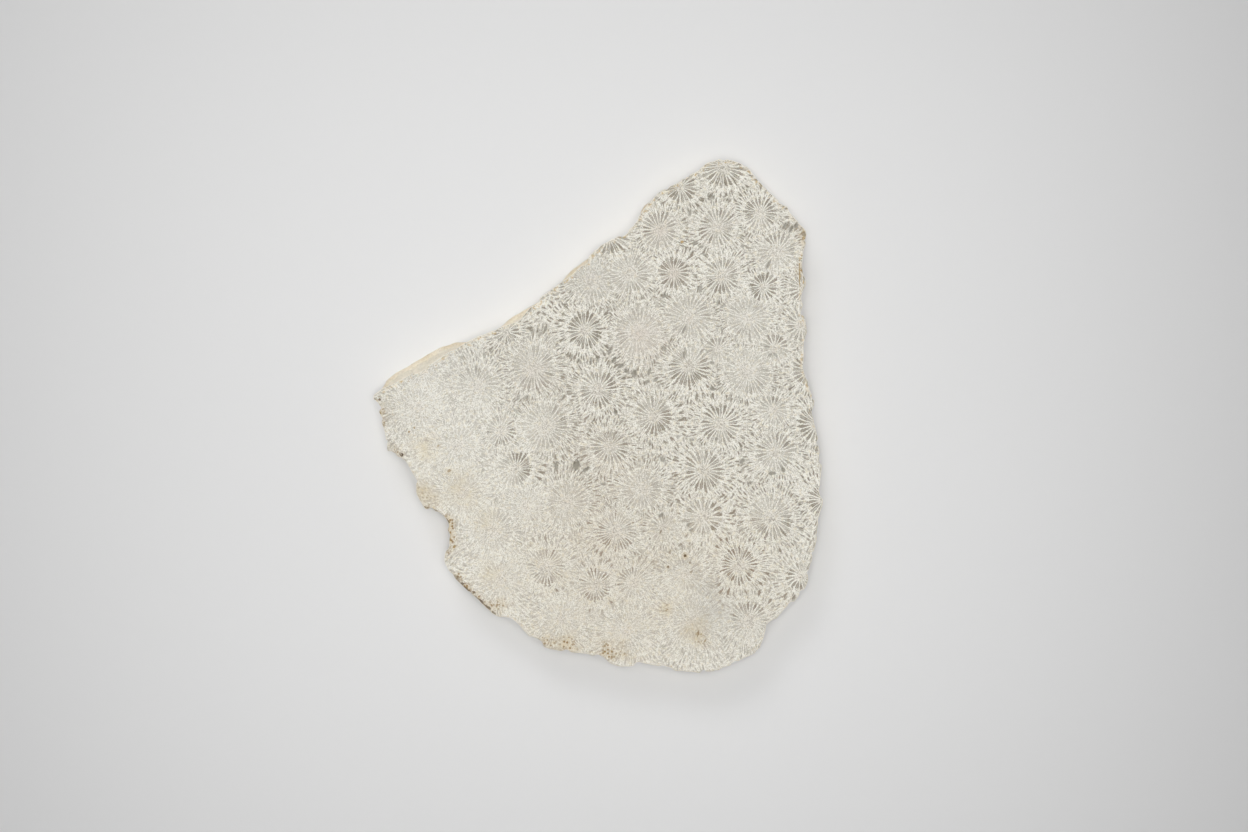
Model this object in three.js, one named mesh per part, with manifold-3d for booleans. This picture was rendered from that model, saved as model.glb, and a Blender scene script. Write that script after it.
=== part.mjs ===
// Fossil coral slice: one sawn slab through a fossil stony coral, lying on its back face.
// Millimetres, +Z up. The origin is on the ground, under the middle of the slab's box.
// The sawn face on top is cut across the coral's tubes: each one shows as a star of narrow pits
// between thin walls. The edge all round is the coral's own broken and weathered side.

import * as THREE from 'three';
import { mergeVertices } from 'three/addons/utils/BufferGeometryUtils.js';
import Module from 'manifold-3d';

// ---- Driving dimensions ----

const THICKNESS = 8;            // between the two sawn faces
const COLUMN_COUNT = 260;       // upright columns round the edge, about 1.2 mm apart
const CURVE_DIVISIONS = 4000;   // fineness of the length table used to space the columns
const EDGE_ROUNDING = 0.3;      // how far both sawn edges are worn back
const PIT_MARGIN = 0.5;         // stone left between a pit and the edge of the sawn face

// Outline of the slab seen from above, counter-clockwise from the peak.
const OUTLINE = [
  [24.6, 51.5], [22.8, 50.9], [20.8, 50.4], [19.4, 49.1], [17.2, 47.8], [15.6, 46.0], [11.4, 44.0],
  [8.6, 41.6], [6.6, 38.5], [4.4, 36.5], [0.4, 34.8], [-2.0, 32.6], [-6.4, 28.9], [-9.4, 26.0],
  [-12.6, 23.5], [-17.2, 20.3], [-19.6, 18.2], [-22.4, 16.4], [-26.6, 15.3], [-30.4, 14.6],
  [-32.8, 13.2], [-35.6, 11.5], [-38.6, 9.6], [-41.2, 8.0], [-43.6, 6.0], [-45.0, 4.4],
  [-45.2, 2.9], [-44.2, 1.6], [-44.6, 0.8], [-43.8, -1.0], [-43.2, -4.4], [-42.6, -6.6],
  [-41.2, -7.6], [-39.6, -8.3], [-38.8, -9.6], [-37.6, -11.4], [-36.7, -12.8], [-36.6, -15.4],
  [-35.8, -17.4], [-34.8, -18.7], [-32.4, -19.4], [-31.2, -20.4], [-30.1, -21.8], [-30.4, -22.8],
  [-30.0, -24.8], [-30.6, -26.6], [-31.2, -28.8], [-30.4, -31.0], [-28.6, -33.0], [-25.6, -35.6],
  [-22.8, -38.0], [-20.4, -40.0], [-17.8, -40.6], [-15.0, -43.0], [-11.8, -45.5], [-9.6, -46.8],
  [-4.6, -47.3], [-0.2, -48.2], [2.0, -49.5], [4.4, -50.1], [6.8, -50.1], [7.6, -49.4],
  [10.4, -49.9], [14.8, -51.0], [19.4, -51.4], [22.6, -51.7], [24.8, -50.4], [26.8, -49.7],
  [30.0, -48.1], [32.0, -46.8], [33.0, -44.8], [34.0, -42.2], [35.6, -40.7], [38.0, -38.5],
  [40.4, -36.0], [42.0, -33.4], [42.6, -30.4], [43.4, -26.8], [44.1, -22.8], [44.2, -20.4],
  [45.1, -17.2], [44.7, -13.6], [45.0, -10.8], [44.4, -7.2], [44.0, -3.4], [43.0, 0.6],
  [43.4, 2.8], [42.8, 4.6], [41.8, 6.8], [41.2, 9.6], [41.7, 13.8], [41.9, 16.6], [41.3, 20.8],
  [40.8, 23.6], [41.7, 26.4], [41.0, 29.2], [41.2, 31.8], [41.8, 34.2], [41.6, 36.2], [39.6, 39.0],
  [38.2, 41.4], [35.6, 43.4], [33.2, 45.4], [31.2, 47.6], [29.8, 49.4], [27.4, 50.8],
];

// Stretches where the side leans out below the sawn face and shows beside it from above:
// middle of the stretch, how far the stretch reaches, and how far the foot stands out.
const LEANING_STRETCHES = [
  { x: -34.5, y: 12.2, reach: 7.5, amount: 1.5 },
  { x: -41.5, y: 7.8, reach: 4, amount: 0.8 },
  { x: -17.3, y: 20.2, reach: 2.5, amount: 0.8 },
  { x: -5.5, y: 29.6, reach: 3, amount: 0.6 },
  { x: 8.8, y: 41.8, reach: 2.5, amount: 0.7 },
  { x: 17.5, y: 47.8, reach: 2, amount: 0.5 },
  { x: 36.5, y: 42, reach: 6, amount: 0.3 },
];

// Elsewhere the side draws in towards the back face, by an amount that swells and shrinks round the slab.
const UNDERCUT = { least: 0.5, most: 1.5, swells: 5, start: 0.8 };

// Ribs, hollows and slanting broken facets of the side: each a wave round the edge that drifts with
// height. Near the sawn faces the waves fade to a small share, so both faces keep the outline's shape.
const SIDE_WAVES = [
  { count: 11, drift: 4.5, depth: 0.45 },
  { count: 23, drift: 1.6, depth: 0.3 },
  { count: 61, drift: 2.9, depth: 0.2 },
  { count: 97, drift: 5.3, depth: 0.14 },
];
const WAVE_SKEW = 0.67;         // a slower wave that sets each wave's hollows unevenly apart
const WAVE_FADE = 0.1;          // share of the height over which the waves are still growing

// Heights of the rows up the side, as shares of the thickness.
const ROW_SHARES = [0, 0.07, 0.3, 0.55, 0.8, 0.95, 1];

const HOLLOW_DETAIL = 1;        // how finely a hollow's ball is faceted

// Hollows worn into the side where it has crumbled.
const SIDE_HOLLOWS = [
  { x: -28.3, y: -32.9, z: 6.6, radius: 1.0, tall: 1.1 },
  { x: -26.9, y: -34.3, z: 6.9, radius: 0.9, tall: 1.0 },
  { x: -24.9, y: -36.1, z: 6.4, radius: 1.0, tall: 1.2 },
  { x: -22.4, y: -38.1, z: 6.8, radius: 0.8, tall: 1.0 },
  { x: -40.9, y: -7.9, z: 6.7, radius: 1.0, tall: 1.1 },
  { x: -30.1, y: -22.2, z: 6.3, radius: 0.8, tall: 1.6 },
  { x: -44.6, y: 1.9, z: 6.2, radius: 0.9, tall: 1.0 },
  { x: 44.5, y: -8.0, z: 3.6, radius: 1.1, tall: 1.6 },
  { x: 41.7, y: 12.5, z: 4.2, radius: 1.0, tall: 1.3 },
  { x: 12.5, y: -50.4, z: 3.4, radius: 1.2, tall: 1.2 },
  { x: -8.0, y: 27.4, z: 3.9, radius: 1.0, tall: 1.4 },
];

// The coral's tubes where the saw crossed them. radius is the outer end of the star's pits and hub the
// inner end; pits is their number; open says how deep and wide they stand open, from 0 to 1; and towards
// (degrees from +X) with bias says on which side they are more open.
const STARS = [
  { x: 24.8, y: 49.8, radius: 4.4, hub: 1.8, pits: 24, open: 0.9, towards: -90, bias: 0.3 },
  { x: 16.2, y: 45.8, radius: 3.4, hub: 0.9, pits: 20, open: 0.95, towards: -100, bias: 0.3 },
  { x: 12.2, y: 37.2, radius: 3.8, hub: 1.5, pits: 24, open: 0.6, towards: 130, bias: 0.3 },
  { x: 23.6, y: 37.8, radius: 3.8, hub: 1.7, pits: 26, open: 0.6, towards: 0, bias: 0 },
  { x: 32.2, y: 40.6, radius: 3.4, hub: 1.3, pits: 22, open: 0.7, towards: 75, bias: 0.35 },
  { x: 14.9, y: 28.6, radius: 3.4, hub: 1.3, pits: 20, open: 0.95, towards: 140, bias: 0.1 },
  { x: 24.6, y: 28.0, radius: 3.7, hub: 1.5, pits: 24, open: 0.7, towards: -80, bias: 0.3 },
  { x: 32.8, y: 25.8, radius: 3.0, hub: 0.9, pits: 17, open: 0.85, towards: 150, bias: 0.2 },
  { x: 23.8, y: 13.4, radius: 2.6, hub: 0.9, pits: 16, open: 0.4, towards: 90, bias: 0.4 },
  { x: 41.0, y: 25.6, radius: 3.2, hub: 1.2, pits: 18, open: 0.55, towards: 180, bias: 0.3 },
  { x: 18.0, y: 9.9, radius: 4.4, hub: 1.6, pits: 26, open: 0.65, towards: -85, bias: 0.5 },
  { x: 42.0, y: 9.0, radius: 3.4, hub: 1.3, pits: 20, open: 0.7, towards: 190, bias: 0.3 },
  { x: 11.0, y: -0.1, radius: 4.0, hub: 1.5, pits: 24, open: 0.7, towards: -40, bias: 0.3 },
  { x: 24.3, y: -1.6, radius: 4.1, hub: 1.6, pits: 26, open: 0.75, towards: 60, bias: 0.15 },
  { x: 35.3, y: -7.4, radius: 4.0, hub: 1.6, pits: 24, open: 0.5, towards: 80, bias: 0.3 },
  { x: 43.6, y: -1.6, radius: 4.0, hub: 1.4, pits: 22, open: 0.8, towards: 180, bias: 0.2 },
  { x: 20.9, y: -11.0, radius: 4.2, hub: 1.6, pits: 24, open: 0.7, towards: -70, bias: 0.2 },
  { x: 45.0, y: -16.8, radius: 3.6, hub: 1.2, pits: 20, open: 0.8, towards: 180, bias: 0.2 },
  { x: 20.8, y: -20.3, radius: 4.0, hub: 2.3, pits: 18, open: 0.6, towards: 20, bias: 0.2 },
  { x: 34.4, y: -20.4, radius: 4.6, hub: 1.9, pits: 26, open: 0.5, towards: -75, bias: 0.3 },
  { x: 28.0, y: -29.9, radius: 3.9, hub: 1.9, pits: 24, open: 0.65, towards: 90, bias: 0.2 },
  { x: 40.4, y: -32.0, radius: 3.0, hub: 1.2, pits: 18, open: 0.55, towards: -120, bias: 0.3 },
  { x: 3.3, y: -23.1, radius: 4.1, hub: 1.9, pits: 34, open: 0.4, towards: -110, bias: 0.2 },
  { x: -10.6, y: -30.2, radius: 3.8, hub: 1.7, pits: 26, open: 0.45, towards: -40, bias: 0.2 },
  { x: -0.8, y: -33.9, radius: 3.4, hub: 1.6, pits: 22, open: 0.65, towards: 60, bias: 0.2 },
  { x: 6.8, y: -33.3, radius: 3.3, hub: 1.7, pits: 22, open: 0.45, towards: 140, bias: 0.5 },
  { x: 30.1, y: -41.1, radius: 4.2, hub: 1.9, pits: 22, open: 0.5, towards: 100, bias: 0.3 },
  { x: -19.7, y: -3.0, radius: 3.1, hub: 1.3, pits: 22, open: 0.45, towards: -30, bias: 0.2 },
  { x: -16.8, y: -10.6, radius: 3.6, hub: 1.4, pits: 24, open: 0.6, towards: 30, bias: 0.6 },
  { x: -18.6, y: 16.8, radius: 2.7, hub: 1.0, pits: 18, open: 0.85, towards: -20, bias: 0.2 },
  { x: -2.8, y: 17.1, radius: 3.9, hub: 1.3, pits: 24, open: 0.95, towards: -60, bias: 0.1 },
  { x: -0.2, y: 5.3, radius: 4.0, hub: 1.6, pits: 24, open: 0.65, towards: -40, bias: 0.35 },
  { x: 2.2, y: -6.1, radius: 3.7, hub: 1.4, pits: 24, open: 0.55, towards: 0, bias: 0.1 },
  { x: 1.8, y: 36.0, radius: 4.0, hub: 1.6, pits: 22, open: 0.65, towards: -50, bias: 0.3 },
  { x: 40.4, y: 18.2, radius: 3.2, hub: 1.3, pits: 18, open: 0.45, towards: 180, bias: 0.3 },
];

const PIT = {
  leastOpen: 0.5,      // a pit less open than this is only a mark in the stone
  widthShare: 0.52,    // widest part of a fully open pit, as a share of the space between two walls
  depth: 0.7,          // of a fully open pit
  shoulder: 0.2,       // place of the widest part past the pit's middle, as a share of its length
  lengthLoss: 0.3,     // share of its length that a closed pit would lose
  widthLoss: 0.4,      // share of its width that a closed pit would lose
};

// Larger gaps between the stars, where the coral's skeleton is missing: middle, length, width and the
// bearing of the long axis in degrees from +X.
const GAPS = [
  { x: 2.1, y: 12.8, length: 1.7, width: 0.6, bearing: 70 },
  { x: 3.0, y: 11.2, length: 1.5, width: 0.8, bearing: 55 },
  { x: 4.3, y: 10.0, length: 1.4, width: 0.8, bearing: 25 },
  { x: 5.6, y: 8.9, length: 1.5, width: 0.8, bearing: -50 },
  { x: 7.0, y: 8.4, length: 1.9, width: 0.9, bearing: 80 },
  { x: 10.0, y: 8.8, length: 1.6, width: 0.6, bearing: 75 },
  { x: 9.6, y: 6.8, length: 1.2, width: 0.8, bearing: 20 },
  { x: 11.2, y: 7.1, length: 1.1, width: 0.6, bearing: 30 },
  { x: -1.6, y: 11.0, length: 1.6, width: 0.6, bearing: 80 },
  { x: -0.2, y: 11.3, length: 1.5, width: 0.6, bearing: 80 },
  { x: -3.9, y: 10.9, length: 1.2, width: 0.6, bearing: -60 },
  { x: -8.6, y: -10.1, length: 1.9, width: 0.7, bearing: 90 },
  { x: -4.4, y: -9.8, length: 2.0, width: 1.2, bearing: 75 },
  { x: -2.6, y: -10.7, length: 1.7, width: 0.7, bearing: 38 },
  { x: -10.7, y: 17.4, length: 1.1, width: 0.7, bearing: 70 },
  { x: -13.5, y: 17.2, length: 1.3, width: 0.6, bearing: 85 },
  { x: 12.7, y: -8.7, length: 1.6, width: 0.9, bearing: -40 },
  { x: 28.6, y: -9.1, length: 1.4, width: 0.8, bearing: 40 },
  { x: 30.2, y: -13.4, length: 1.3, width: 0.6, bearing: 30 },
  { x: 34.6, y: -11.5, length: 1.5, width: 0.8, bearing: 0 },
  { x: 36.8, y: -10.8, length: 1.1, width: 0.8, bearing: 100 },
  { x: 12.4, y: -19.9, length: 1.1, width: 0.7, bearing: 45 },
  { x: 3.3, y: 0.7, length: 1.1, width: 0.8, bearing: 100 },
  { x: 18.6, y: -4.8, length: 1.0, width: 0.6, bearing: 10 },
  { x: 22.7, y: 5.4, length: 1.2, width: 0.7, bearing: -15 },
  { x: 13.0, y: 13.6, length: 1.1, width: 0.9, bearing: -30 },
  { x: 13.0, y: 24.0, length: 1.1, width: 0.8, bearing: 40 },
  { x: 20.2, y: 25.4, length: 1.6, width: 0.9, bearing: 80 },
  { x: 37.6, y: 37.9, length: 1.7, width: 0.7, bearing: 60 },
  { x: 38.8, y: 37.4, length: 1.7, width: 0.7, bearing: 60 },
  { x: 33.9, y: 30.2, length: 2.1, width: 0.6, bearing: 65 },
  { x: 19.2, y: 34.6, length: 1.2, width: 0.8, bearing: 35 },
  { x: 22.3, y: 43.6, length: 1.3, width: 0.8, bearing: 30 },
  { x: 18.2, y: 40.6, length: 1.4, width: 0.6, bearing: 82 },
  { x: 17.0, y: 17.2, length: 1.8, width: 0.6, bearing: 68 },
];

const GAP_DEPTH = 0.8;

const CORAL_STONE = { color: 0xd9d3c5, roughness: 0.88, metalness: 0 };

// ---- The slab ----

// Points of the outline at even steps along it, each with the direction that points into the stone.
function outlineColumns() {
  const corners = OUTLINE.map(([x, y]) => new THREE.Vector3(x, y, 0));
  const curve = new THREE.CatmullRomCurve3(corners, true, 'catmullrom', 0.5);
  curve.arcLengthDivisions = CURVE_DIVISIONS;
  return Array.from({ length: COLUMN_COUNT }, (_, column) => {
    const share = column / COLUMN_COUNT;
    const point = curve.getPointAt(share);
    const along = curve.getTangentAt(share);
    return { share, x: point.x, y: point.y, inX: -along.y, inY: along.x };
  });
}

// How far the foot of the side stands out beyond the sawn edge at a point of the outline.
function leanAt({ x, y }) {
  return LEANING_STRETCHES.reduce((sum, stretch) => {
    const distance = Math.hypot(x - stretch.x, y - stretch.y);
    return sum + stretch.amount * Math.exp(-((distance / stretch.reach) ** 2));
  }, 0);
}

// A wave between 0 and 1.
function halfWave(angle) {
  return 0.5 + 0.5 * Math.sin(angle);
}

// How far the side stands in from the outline: it leans or draws in, its edges are worn round, and
// ribs and hollows run up it.
function setBack(column, height) {
  const turn = column.share * 2 * Math.PI;
  const lean = leanAt(column);
  const swell = halfWave(UNDERCUT.swells * turn + UNDERCUT.start);
  const undercut = THREE.MathUtils.lerp(UNDERCUT.least, UNDERCUT.most, swell);
  const drawnIn = undercut * (1 - Math.min(1, lean)) * (1 - height) ** 2;
  const ribs = SIDE_WAVES.reduce((sum, wave) => {
    const phase = wave.count * turn + wave.drift * height;
    const skew = Math.sin(Math.round(WAVE_SKEW * wave.count) * turn);
    return sum + wave.depth * halfWave(phase + skew);
  }, 0);
  const ribShare = Math.sin(Math.PI * THREE.MathUtils.lerp(WAVE_FADE, 1 - WAVE_FADE, height));
  const sawnEdge = height === 0 || height === 1;
  return lean * height + drawnIn + ribs * ribShare + (sawnEdge ? EDGE_ROUNDING : 0);
}

// Closed slab: rows of points up the side, and a flat sawn face over each end.
function slabGeometry(columns) {
  const positions = ROW_SHARES.flatMap((height) => columns.flatMap((column) => {
    const inward = setBack(column, height);
    return [column.x + inward * column.inX, column.y + inward * column.inY, height * THICKNESS];
  }));
  const indices = [];
  for (let row = 0; row < ROW_SHARES.length - 1; row += 1) {
    for (let column = 0; column < COLUMN_COUNT; column += 1) {
      const next = (column + 1) % COLUMN_COUNT;
      const [foot, nextFoot] = [column, next].map((place) => row * COLUMN_COUNT + place);
      const [head, nextHead] = [foot, nextFoot].map((place) => place + COLUMN_COUNT);
      indices.push(foot, nextFoot, nextHead, foot, nextHead, head);
    }
  }
  const topRow = (ROW_SHARES.length - 1) * COLUMN_COUNT;
  const ringAt = (start) => Array.from({ length: COLUMN_COUNT }, (_, column) => {
    const place = 3 * (start + column);
    return new THREE.Vector2(positions[place], positions[place + 1]);
  });
  for (const [a, b, c] of THREE.ShapeUtils.triangulateShape(ringAt(topRow), [])) {
    indices.push(topRow + a, topRow + b, topRow + c);
  }
  for (const [a, b, c] of THREE.ShapeUtils.triangulateShape(ringAt(0), [])) {
    indices.push(c, b, a);
  }
  const geometry = new THREE.BufferGeometry();
  geometry.setAttribute('position', new THREE.Float32BufferAttribute(positions, 3));
  geometry.setIndex(indices);
  return geometry;
}

// ---- Pits and hollows ----

// Cutter for one pit, a kite in the sawn face over a four-sided point below. Its long axis lies along
// the bearing, and its wide part is towards it.
function pitCutter({ x, y, length, width, depth, bearing }) {
  const shoulder = PIT.shoulder * length;
  const geometry = new THREE.BufferGeometry();
  geometry.setAttribute('position', new THREE.Float32BufferAttribute([
    -length / 2, 0, 0,
    shoulder, -width / 2, 0,
    length / 2, 0, 0,
    shoulder, width / 2, 0,
    shoulder, 0, -depth,
    shoulder, 0, depth,
  ], 3));
  geometry.setIndex([0, 1, 5, 1, 2, 5, 2, 3, 5, 3, 0, 5, 1, 0, 4, 2, 1, 4, 3, 2, 4, 0, 3, 4]);
  geometry.rotateZ(THREE.MathUtils.degToRad(bearing));
  return geometry.translate(x, y, THICKNESS);
}

// The pits of one star: each lies between two of the coral's walls and points away from the middle.
function starPits(star) {
  const count = star.pits;
  const wallSpace = 2 * Math.PI * star.radius / count;
  const length = star.radius - star.hub;
  return Array.from({ length: count }, (_, pit) => {
    const bearing = 360 * (pit + 0.5) / count;
    const facing = Math.cos(THREE.MathUtils.degToRad(bearing - star.towards));
    const open = Math.min(1, star.open * (1 + star.bias * facing));
    const angle = THREE.MathUtils.degToRad(bearing);
    const reach = star.hub + length / 2;
    return {
      open,
      x: star.x + reach * Math.cos(angle),
      y: star.y + reach * Math.sin(angle),
      length: length * (1 - PIT.lengthLoss * (1 - open)),
      width: wallSpace * PIT.widthShare * (1 - PIT.widthLoss * (1 - open)),
      depth: PIT.depth * open,
      bearing,
    };
  }).filter((pit) => pit.open >= PIT.leastOpen);
}

// True where a pit keeps clear of the edge of the sawn face.
function liesInside(pit, ring) {
  const clearance = PIT_MARGIN + pit.length / 2;
  let inside = false;
  for (let place = 0, last = ring.length - 1; place < ring.length; last = place, place += 1) {
    const a = ring[place];
    const b = ring[last];
    if (Math.hypot(a.x - pit.x, a.y - pit.y) < clearance) {
      return false;
    }
    const crosses = (a.y > pit.y) !== (b.y > pit.y);
    if (crosses && pit.x < (b.x - a.x) * (pit.y - a.y) / (b.y - a.y) + a.x) {
      inside = !inside;
    }
  }
  return inside;
}

// Cutter for one crumbled hollow: a faceted ball, drawn out upright.
function hollowCutter({ x, y, z, radius, tall }) {
  const ball = new THREE.IcosahedronGeometry(radius, HOLLOW_DETAIL);
  return ball.scale(1, 1, tall).translate(x, y, z);
}

const wasm = await Module();
wasm.setup();

function toSolid(geometry) {
  const bare = geometry.clone();
  bare.deleteAttribute('normal');
  bare.deleteAttribute('uv');
  const merged = mergeVertices(bare);
  return new wasm.Manifold(new wasm.Mesh({
    numProp: 3,
    vertProperties: new Float32Array(merged.attributes.position.array),
    triVerts: new Uint32Array(merged.index.array),
  }));
}

function toGeometry(solid) {
  const mesh = solid.getMesh();
  const geometry = new THREE.BufferGeometry();
  geometry.setAttribute('position', new THREE.BufferAttribute(new Float32Array(mesh.vertProperties), 3));
  geometry.setIndex(new THREE.BufferAttribute(new Uint32Array(mesh.triVerts), 1));
  geometry.computeVertexNormals();
  return geometry;
}

// ---- The finished slice ----

function coralSlice() {
  const columns = outlineColumns();
  const ring = columns.map((column) => {
    const inward = setBack(column, 1);
    return { x: column.x + inward * column.inX, y: column.y + inward * column.inY };
  });
  const gaps = GAPS.map((gap) => ({ ...gap, depth: GAP_DEPTH }));
  const pits = [...STARS.flatMap(starPits), ...gaps].filter((pit) => liesInside(pit, ring));
  const cutters = [...pits.map(pitCutter), ...SIDE_HOLLOWS.map(hollowCutter)];
  const cutAway = wasm.Manifold.union(cutters.map(toSolid));
  const geometry = toGeometry(toSolid(slabGeometry(columns)).subtract(cutAway));

  geometry.computeBoundingBox();
  const middle = geometry.boundingBox.getCenter(new THREE.Vector3());
  geometry.translate(-middle.x, -middle.y, 0);

  const mesh = new THREE.Mesh(geometry, new THREE.MeshStandardMaterial(CORAL_STONE));
  mesh.name = 'coral_slice';
  return mesh;
}

const part = new THREE.Group();
part.add(coralSlice());

export default part;
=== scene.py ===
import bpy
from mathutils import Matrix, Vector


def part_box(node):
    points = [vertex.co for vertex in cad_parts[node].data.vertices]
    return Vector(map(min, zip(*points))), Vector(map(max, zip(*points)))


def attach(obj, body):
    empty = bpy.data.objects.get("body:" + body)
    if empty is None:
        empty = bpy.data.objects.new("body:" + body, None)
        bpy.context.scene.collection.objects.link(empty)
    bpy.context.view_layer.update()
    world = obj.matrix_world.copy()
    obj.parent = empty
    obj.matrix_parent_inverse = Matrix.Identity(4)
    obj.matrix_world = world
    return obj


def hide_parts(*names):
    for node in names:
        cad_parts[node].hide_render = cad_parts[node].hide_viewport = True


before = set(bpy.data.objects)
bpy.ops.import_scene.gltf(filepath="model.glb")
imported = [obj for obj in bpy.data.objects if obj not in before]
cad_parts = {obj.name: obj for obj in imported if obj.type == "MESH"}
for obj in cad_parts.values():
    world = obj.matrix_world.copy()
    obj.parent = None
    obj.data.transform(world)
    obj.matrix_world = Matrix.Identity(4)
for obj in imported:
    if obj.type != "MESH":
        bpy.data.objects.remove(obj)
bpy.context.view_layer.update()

# A sawn slice of fossil coral as one closed mesh, which stands for the plain solid and keeps to its box. Two
# grids and a strip make it up: the looked-at sawn face, the back one, and the broken side as a profile
# carried round the outline. The stars, where the saw crossed the coral's tubes, are one formula that is
# worked out twice: with numpy for the pits in the mesh, and with nodes for their colour. Sizes are in
# millimetres and become metres when the mesh is made.

from types import SimpleNamespace

import bpy
import numpy as np

MM = 0.001
TURN = 2 * np.pi

# ---- The slab's shape ----

THICKNESS = 8.0
EDGE_ROUNDING = 0.22  # how far both edges are worn back
EDGE_SHARE = 0.06  # of the thickness, worn
CURVE_DIVISIONS = 4000  # of the outline, to measure its length
HEADING_STEP = 0.009  # share of the outline that its heading is taken over

# Outline of the slab seen from above, counter-clockwise from the peak.
OUTLINE = np.array([
    (24.6, 51.5), (22.8, 50.9), (20.8, 50.4), (19.4, 49.1), (16.8, 48.4), (15.1, 46.7), (10.9, 44.7),
    (8.2, 41.9), (6.6, 38.5), (4.4, 36.5), (0.4, 34.8), (-2, 32.6), (-6.4, 28.9), (-9.4, 26), (-12.6, 23.5),
    (-17.2, 20.3), (-19.9, 18.7), (-22.6, 17.1), (-26.7, 15.7), (-30.4, 14.6), (-33, 13.6), (-35.9, 11.9),
    (-38.9, 10), (-41.5, 8.4), (-44, 6.3), (-45.4, 4.5), (-45.5, 2.8), (-44.5, 1.5), (-44.9, 0.6),
    (-44.1, -1.1), (-43.2, -4.4), (-42.8, -7), (-41.3, -8.2), (-39.7, -8.8), (-38.8, -9.6), (-37.8, -11.5),
    (-37.1, -12.9), (-36.9, -15.4), (-35.8, -17.4), (-34.8, -18.7), (-32.4, -19.4), (-31.2, -20.4),
    (-30.4, -21.8), (-30.7, -22.8), (-30.4, -24.8), (-31, -26.6), (-31.4, -28.9), (-30.4, -31),
    (-28.8, -33.2), (-25.8, -35.8), (-23, -38.2), (-20.6, -40.2), (-17.8, -40.6), (-15.2, -43.3),
    (-12, -45.8), (-9.6, -46.8), (-4.6, -47.5), (-0.2, -48.4), (2, -49.5), (4.4, -50.1), (6.8, -50.1),
    (7.6, -49.4), (10.4, -49.9), (14.8, -51), (19.4, -51.4), (22.6, -51.7), (24.8, -50.4), (26.8, -49.7),
    (30, -48.1), (32, -46.8), (33, -44.8), (34, -42.2), (35.6, -40.7), (38, -38.5), (40.4, -36),
    (42, -33.4), (42.6, -30.4), (43.4, -26.8), (44.1, -22.8), (44.2, -20.4), (45.1, -17.2), (44.7, -13.6),
    (45, -10.8), (44.7, -7.2), (44, -3.4), (43.2, 0.6), (43.9, 2.8), (43.4, 4.7), (42.2, 6.9), (41.2, 9.6),
    (41.7, 13.8), (42.2, 16.6), (41.6, 20.8), (40.8, 23.6), (41.7, 26.4), (41, 29.2), (41.2, 31.8),
    (41.8, 34.2), (42, 36.3), (39.8, 39.2), (38.5, 41.6), (35.9, 43.8), (33.6, 45.8), (31.6, 47.8),
    (30.1, 49.6), (27.4, 50.8),
])

# Corners of the sawn faces' grids: besides the peak, where the outline starts, three more.
LEFT_TIP = (-45.5, 2.8)
LOWER_CORNER = (-0.2, -48.4)
RIGHT_CORNER = (44.2, -20.4)

FACE_STEPS = 248  # cells along each side of the looked-at face's grid
BAND_SHARES = np.array([0.08, 0.18, 0.3, 0.44, 0.58, 0.72, 0.86, 1.0])  # rows between edge and grid
BAND_WIDTH = 3.2  # from the edge to the smooth ring that the grid starts from
RING_WAVES = 14  # waves round the ring that are kept when it is smoothed
BACK_EVERY = 4  # points of the edge to one of the back face's coarser grid
BACK_INSET = 0.6  # from the back edge to that grid's first ring
BACK_SHARES = np.array([0.35, 0.7, 1.0])  # rows between that ring and the grid

# Heights of the rows up the side, as shares of the thickness.
ROW_SHARES = np.array([0, 0.008, 0.025, 0.06, 0.11, 0.17, 0.24, 0.31, 0.38, 0.45, 0.52, 0.59, 0.66, 0.73,
                       0.8, 0.86, 0.91, 0.94, 0.975, 0.992, 1.0])

# Stretches where the side leans out below the looked-at face: middle x, y, reach, and how far it leans.
LEANING_STRETCHES = [
    (-34.5, 12.2, 7.5, 2), (-41.5, 7.8, 4, 0.8), (-17.5, 20, 4.2, 1), (-5.5, 29.6, 4, 0.8),
    (8.8, 41.8, 2.5, 0.7), (17.5, 47.8, 2, 0.5), (36.5, 42, 6, 0.3),
]
LEAN_BEND = 3  # bends the lean over towards the looked-at face

# Elsewhere the side draws in towards the back, by an amount that swells and shrinks round the slab.
UNDERCUT = (0.5, 1.5)
UNDERCUT_SWELLS, UNDERCUT_START = 5, 0.8

# Waves of the broken side: count round the edge, drift with height, depth.
SIDE_WAVES = [(11, 4.5, 0.45), (23, 1.6, 0.3), (61, 2.9, 0.2), (97, 5.3, 0.14)]
WAVE_SKEW = 0.67  # of a slower wave that sets the hollows unevenly apart
WAVE_FADE = 0.1  # share of the height over which the waves grow

# Finer roughness of the broken side: size of its lumps and depth.
SIDE_GRAINS = [(4.2, 0.5), (2.1, 0.5), (1.05, 0.36), (0.6, 0.16)]
SIDE_RIB_SPACE = 0.8  # between the tubes' walls down the side
SIDE_RIB_DEPTH = 0.36
SIDE_RIB_RUN = 0.15  # how much slower they change down than along
ROUGH_FOOT = (0.0, 0.12)  # heights between which the roughness grows, as shares
ROUGH_TOP = (1.1, 0.78)  # and between which it fades

# Chips along the looked-at face's edge: their size and depth.
EDGE_CHIPS = [(2.6, 0.45), (1.3, 0.35)]
CHIP_LEVELS = (0.6, 0.85)  # of the noise that they are cut from
CHIP_HEIGHTS = (0.75, 1.0)  # between which they grow

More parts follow.
